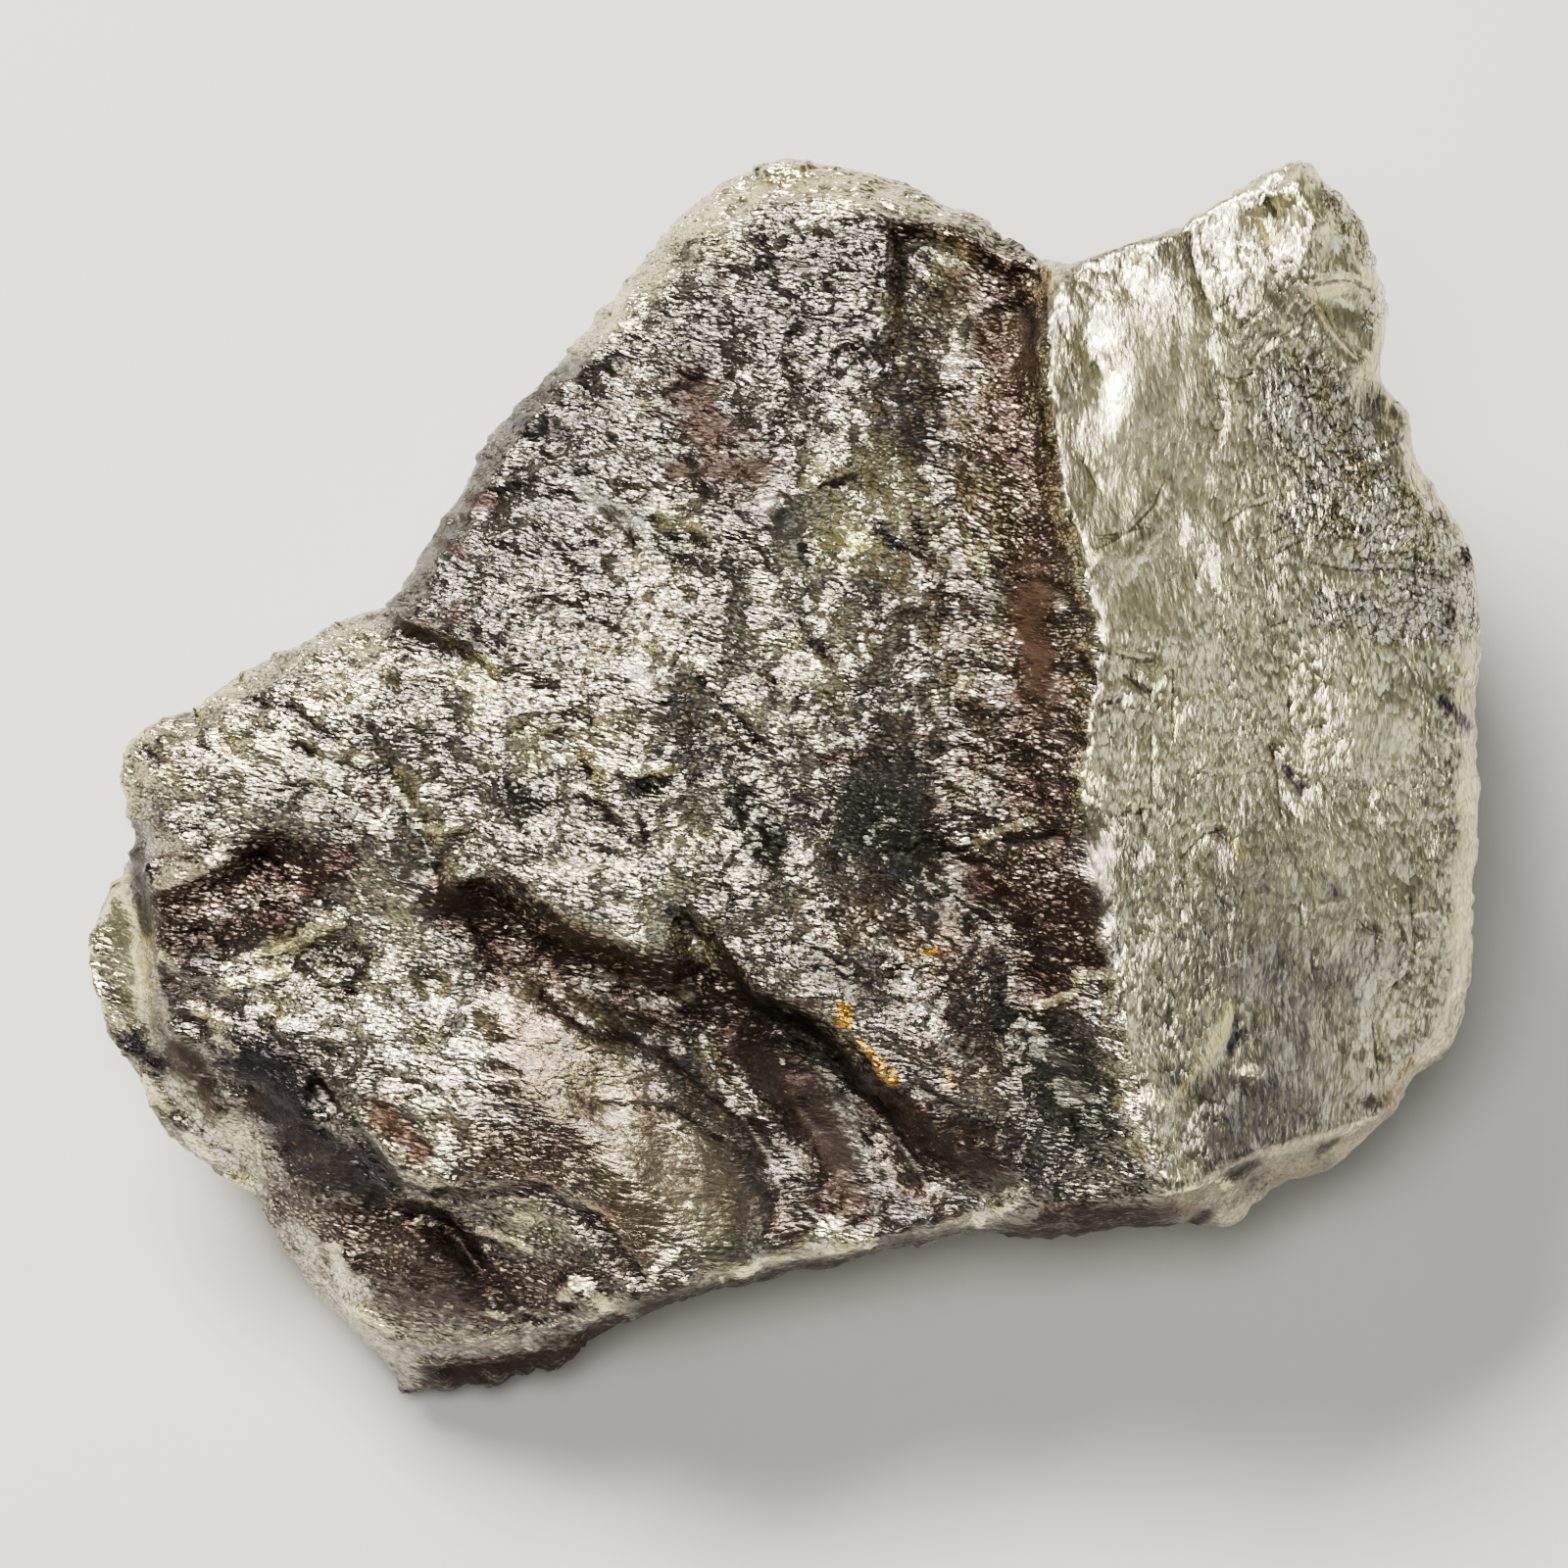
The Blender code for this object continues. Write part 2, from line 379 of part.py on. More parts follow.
def wall_column(rim_point, reaches):
    """Points from just behind one rim point, round the belly of the lump, to the resting face."""
    angle, reach = reach_of(rim_point.x, rim_point.y)
    belly_share, belly_depth = table_at(BELLY, angle)
    base_share = table_at(BASE, angle)[0]
    smooth = smooth_reach(reaches, angle)
    ray = Vector((math.cos(math.radians(angle)), math.sin(math.radians(angle))))
    belly_uv = Vector(MIDDLE) + ray * (smooth * belly_share)
    base_uv = Vector(MIDDLE) + ray * (0.75 * smooth + 0.25 * reach) * base_share
    rim = lay_back(*rim_point)
    belly = lay_back(belly_uv.x, belly_uv.y, belly_depth)
    base = fractured(lay_back(base_uv.x, base_uv.y, floor_depth(base_uv.y)), level=True)
    bend = 2.0 * belly - 0.5 * (rim + base)
    steps = [i / WALL_ROWS for i in range(1, WALL_ROWS + 1)]
    return [rim * (1 - t) ** 2 + bend * (2 * t * (1 - t)) + base * t * t for t in steps]


def roughened(place, outward):
    """A wall point pushed in or out by lumps and flat chips."""
    lumps = 1.2 * noise.noise(place / 12.0) + 0.4 * noise.noise(place / 4.0)
    chips = chip_height(place, 8.5, 0.34) + chip_height(place, 3.6, 0.30)
    return place + outward * (lumps + chips)


def fractured(place, level=False):
    """A wall point brought back onto the fractures that it stands out from, at its own height if level."""
    for _, spot, facing in FRACTURES:
        normal = Vector(facing).normalized()
        wander = 0.25 * noise.noise(place / 3.0)
        over = (place - Vector(spot)).dot(normal) - wander
        if over > 0.0:
            way = Vector((normal.x, normal.y, 0.0)) if level else normal
            place = place - way * (over / way.length_squared)
    return place


def behind_rim(place, reaches):
    """A wall point kept behind the rim, as seen square on to the show face."""
    up = place.z - FLOOR_DROP
    v = place.y * math.cos(LEAN) + up * math.sin(LEAN)
    w = up * math.cos(LEAN) - place.y * math.sin(LEAN)
    angle, reach = reach_of(place.x, v)
    most = table_at(reaches, angle)[0] - 0.35
    if reach <= most:
        return place
    share = most / reach
    return lay_back(place.x * share + MIDDLE[0] * (1 - share), v * share + MIDDLE[1] * (1 - share), w)


def build_points():
    points, edges, rim_count = runs_of(EDGE_STEP)
    coarse = triangles(points, edges)
    tree = BVHTree.FromPolygons(points, coarse)
    taken = KDTree(len(points))
    for i, p in enumerate(points):
        taken.insert((p.x, p.y, 0.0), i)
    taken.balance()
    fixed = len(points)
    points += inside_points(tree, taken)
    faces = triangles(points, edges)
    relax(points, faces, fixed, 6)
    for i, p in enumerate(points):
        near_rim = 0.4 if i < rim_count else 1.0
        p.z += near_rim * face_relief(p)
    rim = points[:rim_count]
    placed = [lay_back(*p) for p in points]

    rings = [list(range(rim_count))]
    reaches = rim_table(rim)
    columns = [wall_column(p, reaches) for p in rim]
    for row in range(WALL_ROWS):
        ring = []
        for i, column in enumerate(columns):
            place = column[row]
            ahead = columns[(i + 3) % rim_count][row]
            behind = columns[i - 3][row]
            outward = (behind - ahead).cross(Vector((0, 0, 1))).normalized()
            if row < WALL_ROWS - 1:
                fade = min(1.0, 0.3 + 0.25 * row)
                place = place.lerp(fractured(roughened(place, outward)), fade)
                place = behind_rim(place, reaches)
                place += 0.25 * noise.noise_vector(place / 1.7)
                place.z = max(place.z, 0.4)
            ring.append(len(placed))
            placed.append(place)
        rings.append(ring)
    for upper, lower in zip(rings, rings[1:]):
        for i in range(rim_count):
            j = (i + 1) % rim_count
            faces.append((upper[i], upper[j], lower[j]))
            faces.append((upper[i], lower[j], lower[i]))
    last = rings[-1]
    foot = [placed[i].copy() for i in last]
    loop = [(i, (i + 1) % rim_count) for i in range(rim_count)]
    faces += [tuple(last[i] for i in reversed(face)) for face in triangles(foot, loop)]
    return placed, faces


def pyrite_material():
    material = bpy.data.materials.new("pyrite")
    material.use_nodes = True
    shader = material.node_tree.nodes["Principled BSDF"]
    shader.inputs["Base Color"].default_value = (0.52, 0.48, 0.38, 1.0)
    shader.inputs["Metallic"].default_value = 0.9
    shader.inputs["Roughness"].default_value = 0.38
    material.diffuse_color = (0.52, 0.48, 0.38, 1.0)
    material.metallic = 0.9
    material.roughness = 0.38
    return material


def main():
    for old in list(bpy.data.objects):
        bpy.data.objects.remove(old)
    placed, faces = build_points()
    low = [min(p[axis] for p in placed) for axis in range(3)]
    high = [max(p[axis] for p in placed) for axis in range(3)]
    centre = Vector(((low[0] + high[0]) / 2, (low[1] + high[1]) / 2, low[2]))
    mesh = bpy.data.meshes.new("pyrite_mass")
    mesh.from_pydata([(p - centre) * MM for p in placed], [], faces)
    mesh.validate()
    mesh.materials.append(pyrite_material())
    lump = bpy.data.objects.new("pyrite_mass", mesh)
    bpy.context.scene.collection.objects.link(lump)


main()
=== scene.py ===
"""Massive pyrite: one broken, crackled and stained lump, lying on a plain pale floor.

The show face is worked in millimetres square on to it: u to the right, v up the face and w out of
it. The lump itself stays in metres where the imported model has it.
"""

import json
import math

import bmesh
import bpy
import numpy as np
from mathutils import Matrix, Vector, kdtree, noise
from mathutils.bvhtree import BVHTree

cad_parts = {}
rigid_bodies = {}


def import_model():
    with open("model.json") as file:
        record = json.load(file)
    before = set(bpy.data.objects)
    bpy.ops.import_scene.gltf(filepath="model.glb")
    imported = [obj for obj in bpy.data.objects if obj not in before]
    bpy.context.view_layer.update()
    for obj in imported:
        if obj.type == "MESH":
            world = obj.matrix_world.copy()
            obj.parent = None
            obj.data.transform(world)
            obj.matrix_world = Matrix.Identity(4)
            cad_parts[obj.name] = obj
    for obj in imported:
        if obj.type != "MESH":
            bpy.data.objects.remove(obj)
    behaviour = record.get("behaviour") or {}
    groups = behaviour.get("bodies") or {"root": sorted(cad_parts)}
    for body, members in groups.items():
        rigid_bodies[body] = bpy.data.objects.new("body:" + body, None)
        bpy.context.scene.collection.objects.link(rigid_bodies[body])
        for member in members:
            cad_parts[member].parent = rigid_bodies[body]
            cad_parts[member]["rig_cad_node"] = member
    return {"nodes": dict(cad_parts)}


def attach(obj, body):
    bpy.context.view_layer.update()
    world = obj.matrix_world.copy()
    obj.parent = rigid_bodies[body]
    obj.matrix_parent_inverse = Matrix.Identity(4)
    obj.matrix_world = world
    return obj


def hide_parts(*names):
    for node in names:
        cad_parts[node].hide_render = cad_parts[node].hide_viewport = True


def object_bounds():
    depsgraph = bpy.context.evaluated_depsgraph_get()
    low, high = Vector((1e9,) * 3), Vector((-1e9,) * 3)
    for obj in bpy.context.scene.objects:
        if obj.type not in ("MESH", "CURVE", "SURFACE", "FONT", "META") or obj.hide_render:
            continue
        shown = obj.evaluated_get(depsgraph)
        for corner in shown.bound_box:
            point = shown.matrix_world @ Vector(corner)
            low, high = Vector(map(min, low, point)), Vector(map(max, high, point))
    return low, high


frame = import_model()
CAD_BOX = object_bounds()

MM = 0.001
LEAN = math.radians(20.0)  # the show face is tipped up this far from lying flat
MIDDLE = Vector((0.0934, -4.1820, 23.2))  # middle of the show face, in the lump's own mm
U = Vector((1.0, 0.0, 0.0))
V = Vector((0.0, math.cos(LEAN), math.sin(LEAN)))
W = Vector((0.0, -math.sin(LEAN), math.cos(LEAN)))
LENS = 300.0
SENSOR = 36.0
VIEW_WIDTH = 75.2  # mm across the view at the middle of the show face
FLOOR_GAP = 0.00003  # metres that the floor lies under the lump
FLOOR_SKIN = 0.0001  # metres above the floor where softening and relief leave the lump alone

# The parts of the lump: the wall, and the show face to the left and to the right of the ridge.
WALL, LEFT, RIGHT = range(3)
SEED = 1  # keeps the noise the same each run
SHOW_CUTS, WALL_CUTS = 4, 2  # how finely the faces of the show face and of the wall are divided

# Relief in mm.
PILLOW_SIZE = 0.9
ASIDE = Vector((20.0, 0.0, 0.0))  # where a second pattern of chips is taken from
BULGE = ((-7.0, -17.0), (6.5, 5.0))  # the smooth bulge: middle, then spread, along u and v
LOWER_RIGHT = ((24.0, -10.0), (8.0, 8.0))
WALL_CHIP, WALL_BREAK = 2.3, 6.0  # size of the wall's chips and of its broad breaks
WALL_DEPTH, WALL_RISE = 0.9, 0.25  # furthest that the wall goes in and out
WALL_START = 4.0  # the wall's relief grows to its full depth this far from the show face
CRACK_DEPTH, CRACK_REACH = 0.12, 0.14
EDGE_HEIGHT, EDGE_REACH = 0.06, 0.16
FAR_OFF = 16.0  # distance from a stroke, in its half widths, past which it has no effect
RELIEF_TURN, GRAIN_TURN = 0.18, 0.16  # slope of the grain left of the ridge

# The finish. The first three are scales of metal to a millimetre, along u, v and w.
LEFT_SCALES = (1.9, 4.9, 3.0)
RIGHT_SCALES = (3.9, 1.35, 2.4)
WALL_SCALES = 1.8
FIBRE = (1.3, 0.22, 1.0)  # how the streaks are drawn out along the grain
DOME = (0.7, 1.7, 0.0)  # how far a scale bulges
HALF = (0.5, 0.5, 0.5)
BUMP_HEIGHT = 0.00013  # metres
WALL_STAIN_AND_SHADE = ("painted_shade", "rust")  # the rust stain, and the painted shade of the shaded underside, which go on over the wall too

# Colours of the bare metal's scales and of the ground between them.
DARK_GROUND, LIGHT_GROUND = (0.190, 0.175, 0.153, 1.0), (0.482, 0.441, 0.360, 1.0)
DULL_METAL, BRIGHT_METAL = (0.395, 0.354, 0.286, 1.0), (0.985, 0.914, 0.576, 1.0)
DIM_METAL = (0.175, 0.145, 0.112, 1.0)
LEMON = (0.80, 0.70, 0.34, 1.0)
GOLD = (0.74, 0.40, 0.07, 1.0)
GRIT_GLINT = (0.99, 0.94, 0.76, 1.0)
GRIT_DIRT = (0.085, 0.052, 0.038, 1.0)
GRIT_WEB = (0.050, 0.036, 0.027, 1.0)
SEAM = (0.034, 0.029, 0.022, 1.0)
# painted highlight on the flakes, and painted shade in the pits, under edges and in the cracks
FLAKE_HIGHLIGHT = (0.99, 0.94, 0.60, 1.0)
PIT_SHADE = (0.052, 0.045, 0.035, 1.0)
CRACK_SHADE = (0.034, 0.029, 0.024, 1.0)

# Tarnish, and painted shade: its share, then its colour on the ground and on the scales.
TARNISH_AND_SHADE = {
    "green": (0.85, (0.100, 0.101, 0.078, 1.0), (0.400, 0.395, 0.310, 1.0)),
    "rose": (0.80, (0.222, 0.158, 0.116, 1.0), (0.605, 0.475, 0.345, 1.0)),
    # purple-brown tarnish, partly painted shade where it lies over the shaded slope and hollows
    "plum_and_shade": (0.90, (0.064, 0.041, 0.032, 1.0), (0.690, 0.590, 0.445, 1.0)),
    "rust": (0.85, (0.080, 0.041, 0.024, 1.0), (0.330, 0.175, 0.085, 1.0)),
    "blue": (0.85, (0.044, 0.039, 0.044, 1.0), (0.300, 0.275, 0.300, 1.0)),
    # dark brown painted shade for the shaded underside and hollows
    "painted_shade": (0.90, (0.028, 0.016, 0.010, 1.0), (0.125, 0.088, 0.062, 1.0)),
}


def in_face(point):
    """Metres in the lump's frame to u, v, w in millimetres."""
    away = point / MM - MIDDLE
    return Vector((away.dot(U), away.dot(V), away.dot(W)))


def from_face(u, v, w):
    """u, v, w in millimetres to metres in the lump's frame."""
    return (MIDDLE + U * u + V * v + W * w) * MM


# ---- camera, floor and lights


def set_camera():
    data = bpy.data.cameras.new("camera")
    data.lens = LENS
    data.sensor_width = SENSOR
    data.clip_start = 0.01
    data.clip_end = 20.0
    camera = bpy.data.objects.new("camera", data)
    camera.rotation_euler = (LEAN, 0.0, 0.0)
    camera.location = from_face(0.0, 0.0, VIEW_WIDTH * LENS / SENSOR)
    bpy.context.scene.collection.objects.link(camera)
    bpy.context.scene.camera = camera


def soft_light(name, way, far, size, power, colour):
    """A soft light `far` metres from the middle of the show face, `way` as u, v, w, aimed at it."""
    data = bpy.data.lights.new(name, "AREA")
    data.shape = "RECTANGLE"
    data.size, data.size_y = size
    data.energy = power
    data.color = colour
    light = bpy.data.objects.new(name, data)
    away = Vector(way).normalized() * (far / MM)
    light.location = from_face(*away)
    aim = from_face(0.0, 0.0, 0.0) - light.location
    light.rotation_euler = aim.to_track_quat("-Z", "Y").to_euler()
    bpy.context.scene.collection.objects.link(light)


def set_stage():
    bpy.ops.mesh.primitive_plane_add(size=4.0, location=(0.0, 0.0, -FLOOR_GAP))
    floor = bpy.context.object
    floor.name = "floor"
    paint = bpy.data.materials.new("pale_floor")
    paint.use_nodes = True
    shader = paint.node_tree.nodes["Principled BSDF"]
    shader.inputs["Base Color"].default_value = (0.72, 0.71, 0.69, 1.0)
    shader.inputs["Roughness"].default_value = 0.85
    floor.data.materials.append(paint)
    world = bpy.data.worlds.new("soft_room")
    world.use_nodes = True
    world.node_tree.nodes["Background"].inputs["Color"].default_value = (0.9, 0.93, 1.0, 1.0)
    world.node_tree.nodes["Background"].inputs["Strength"].default_value = 0.10
    bpy.context.scene.world = world
    bpy.context.scene.view_settings.look = "AgX - Medium High Contrast"
    soft_light("key", (-0.45, 0.80, 0.72), 0.50, (0.26, 0.18), 5.1, (1.0, 0.97, 0.90))
    soft_light("overhead", (-0.06, 0.10, 1.0), 0.70, (0.20, 0.20), 2.4, (1.0, 0.98, 0.94))
    soft_light("fill", (0.9, -0.25, 0.45), 0.60, (0.30, 0.30), 0.45, (0.90, 0.94, 1.0))


# ---- shader maths


class Value:
    """A number that comes out of a node. Arithmetic on it adds Math nodes."""

    def __init__(self, net, socket):
        self.net = net
        self.socket = socket

    def math(self, operation, *others):
        node = self.net.node("ShaderNodeMath", {"operation": operation}, dict(enumerate((self, *others))))
        return Value(self.net, node.outputs[0])

    def __add__(self, other):
        return self.math("ADD", other)

    __radd__ = __add__

    def __mul__(self, other):
        return self.math("MULTIPLY", other)

    __rmul__ = __mul__

    def __sub__(self, other):
        return self.math("SUBTRACT", other)

    def __rsub__(self, other):
        return (self * -1.0) + other

    def __abs__(self):
        return self.math("ABSOLUTE")

    def ramp(self, low, high):
        """0 below low and 1 above high, with a soft step between; low above high turns it round."""
        node = self.net.node(
            "ShaderNodeMapRange",
            {"interpolation_type": "SMOOTHSTEP"},
            {"Value": self, "From Min": low, "From Max": high},
        )
        return Value(self.net, node.outputs["Result"])


class Net:
    """The nodes of one material."""

    def __init__(self, name):
        self.material = bpy.data.materials.new(name)
        self.material.use_nodes = True
        self.tree = self.material.node_tree
        self.shader = self.tree.nodes["Principled BSDF"]

    def node(self, kind, settings=None, inputs=None):
        made = self.tree.nodes.new(kind)
        for name, setting in (settings or {}).items():
            setattr(made, name, setting)
        for name, given in (inputs or {}).items():
            self.feed(made.inputs[name], given)
        return made

    def feed(self, socket, given):
        source = given.socket if isinstance(given, Value) else given
        if isinstance(source, bpy.types.NodeSocket):
            self.tree.links.new(source, socket)
        else:
            socket.default_value = source

    def mix(self, share, first, second):
        """Colour between first and second."""
        node = self.node("ShaderNodeMix", {"data_type": "RGBA"}, {0: share, 6: first, 7: second})
        return node.outputs[2]

    def vector(self, operation, *inputs):
        node = self.node("ShaderNodeVectorMath", {"operation": operation}, dict(enumerate(inputs)))
        return node.outputs["Vector"]

    def scaled(self, vector, factor):
        node = self.node("ShaderNodeVectorMath", {"operation": "SCALE"}, {0: vector, "Scale": factor})
        return node.outputs["Vector"]

    def noise_node(self, place, scale, detail, roughness=0.5):
        """A noise pattern's own node: Fac is one number and Color is three."""
        settings = {"Vector": place, "Scale": scale, "Detail": detail, "Roughness": roughness}
        return self.node("ShaderNodeTexNoise", {}, settings)

    def noise(self, place, scale, detail, roughness):
        return Value(self, self.noise_node(place, scale, detail, roughness).outputs["Fac"])

    def borders(self, place, scale):
        """Distance to the nearest border of a cell pattern, in cells."""
        node = self.node(
            "ShaderNodeTexVoronoi", {"feature": "DISTANCE_TO_EDGE"}, {"Vector": place, "Scale": scale}
        )
        return Value(self, node.outputs["Distance"])

    def cells(self, place, scale):
        """A cell pattern: Color is random for each cell, Position is its middle."""
        node = self.node("ShaderNodeTexVoronoi", {"feature": "F1"}, {"Vector": place, "Scale": scale})
        return node.outputs

    def split(self, colour):
        """The three numbers of a colour or vector."""
        node = self.node("ShaderNodeSeparateColor", {}, {"Color": colour})
        return [Value(self, part) for part in node.outputs]

    def stored(self, name):
        """Three numbers kept with the piece."""
        return self.node("ShaderNodeAttribute", {"attribute_name": name}).outputs["Vector"]


# ---- the lump's marks

# The upright ridge as u at each v: right of it the face is fibrous, left of it crackled.
RIDGE_V = [-25, -19.7, -12.6, -7.1, -3.3, 0.2, 4.7, 6.8, 13, 18.8, 24.7]
RIDGE_U = [21, 18.3, 16.4, 15.4, 14.4, 14.1, 14.8, 15.1, 13.5, 12.6, 12.6]

# Thin cracks of the show face, cut in and painted dark, which is painted shade: half width, then u, v, u, v
# ... along each.
CRACKS = [
    (0.07, 12, 19, 12.3, 17.4, 12.6, 15.4), (0.08, 13.6, 13, 13.9, 11.6, 14.1, 10.8),
    (0.06, -7.2, 12.2, -7.2, 11.2), (0.06, -17.6, -1.8, -15.8, -1.75), (0.07, -15.8, -2.6, -14.8, -2.2),
    (0.07, -8, 4.1, -6.8, 3.8, -5.6, 3.9), (0.08, -5.3, 5.6, -4.9, 6.2, -4.4, 7.1),
    (0.07, -3.4, 5.8, -2.6, 5.8), (0.07, -3, -4.8, -2.2, -5.8), (0.07, 0.2, -7.5, 1.6, -7.9, 3, -8.8),
    (0.08, 19.4, 26.6, 19.5, 25, 19.9, 23.7, 20.5, 22.7, 20.5, 22.1, 21.3, 21.2),
    (0.06, 20.5, 22.7, 21.3, 23), (0.07, 21.9, 21.9, 22.9, 22.7),
    (0.07, 22.3, 20.2, 22.9, 21, 24, 21.5, 24.8, 22), (0.06, 24.9, 22.4, 25.4, 22.9),
    (0.07, 21.1, 19.4, 21.4, 19.3, 22.2, 19.5), (0.06, 20.2, 17.6, 20.6, 16.8, 21, 17),
    (0.07, 26, 15.9, 27.4, 16), (0.06, 14.2, 15.4, 15, 14), (0.07, 15, 11.2, 16.4, 12, 17.6, 13.2, 18, 14.2),
    (0.06, 15.2, 11.8, 17.2, 12.2), (0.07, 21.2, 12.6, 22.2, 13.2, 23.6, 13.6),
    (0.07, 23.2, 10.8, 24.2, 11.4, 25, 11.7), (0.07, 24, 13.8, 24.4, 12.2, 25, 12),
    (0.06, 25.2, 13.6, 25.5, 12.9), (0.06, 23.4, 12, 24.2, 12.5), (0.06, 19.6, 9.8, 19.9, 10.6),
    (0.07, 18.5, 9.9), (0.06, 18.5, 5.4, 18.5, 2.4), (0.06, 17.5, 2.1, 17.5, -0.4),
    (0.06, 24.1, 5.4, 24.15, 2.6, 24.4, 2.3), (0.07, 22.9, 6.9, 23.3, 6.2, 23.7, 5.6),
    (0.06, 23.2, 7.5, 24.1, 7.8), (0.07, 24.9, 2.6, 25.6, 2.8, 26, 2.5), (0.07, 26.6, 5.4, 27.4, 4.4),
    (0.06, 17, -1.2, 17.2, -2.4), (0.06, 19, -3.4, 20, -2.4, 20.8, -2.2), (0.07, 28.2, -11.6, 28.4, -13.4),
    (0.08, 23.4, 1.6, 23.6, 0, 23.7, -1.4), (0.06, 23.6, -0.4, 24.3, -1.5),
    (0.07, 25.6, 23.2, 26.4, 21.7, 27.4, 20.5), (0.07, 27.6, -6.7, 28.4, -7.2), (0.06, 28.3, -7, 28.3, -8),
    (0.07, 20.6, -5.2, 21.2, -6.2), (0.06, 30, -5.4, 30.2, -8), (0.06, 25.2, -8, 25.2, -8.8),
    (0.07, 29, -9.8, 29.8, -9.2), (0.06, 24.6, -5.8, 24.7, -6.6), (0.07, 21.4, -10.4, 21.6, -11.4),
    (0.07, 25, 10.6, 27, 10.2, 29.5, 10.3, 32, 9.9),
]
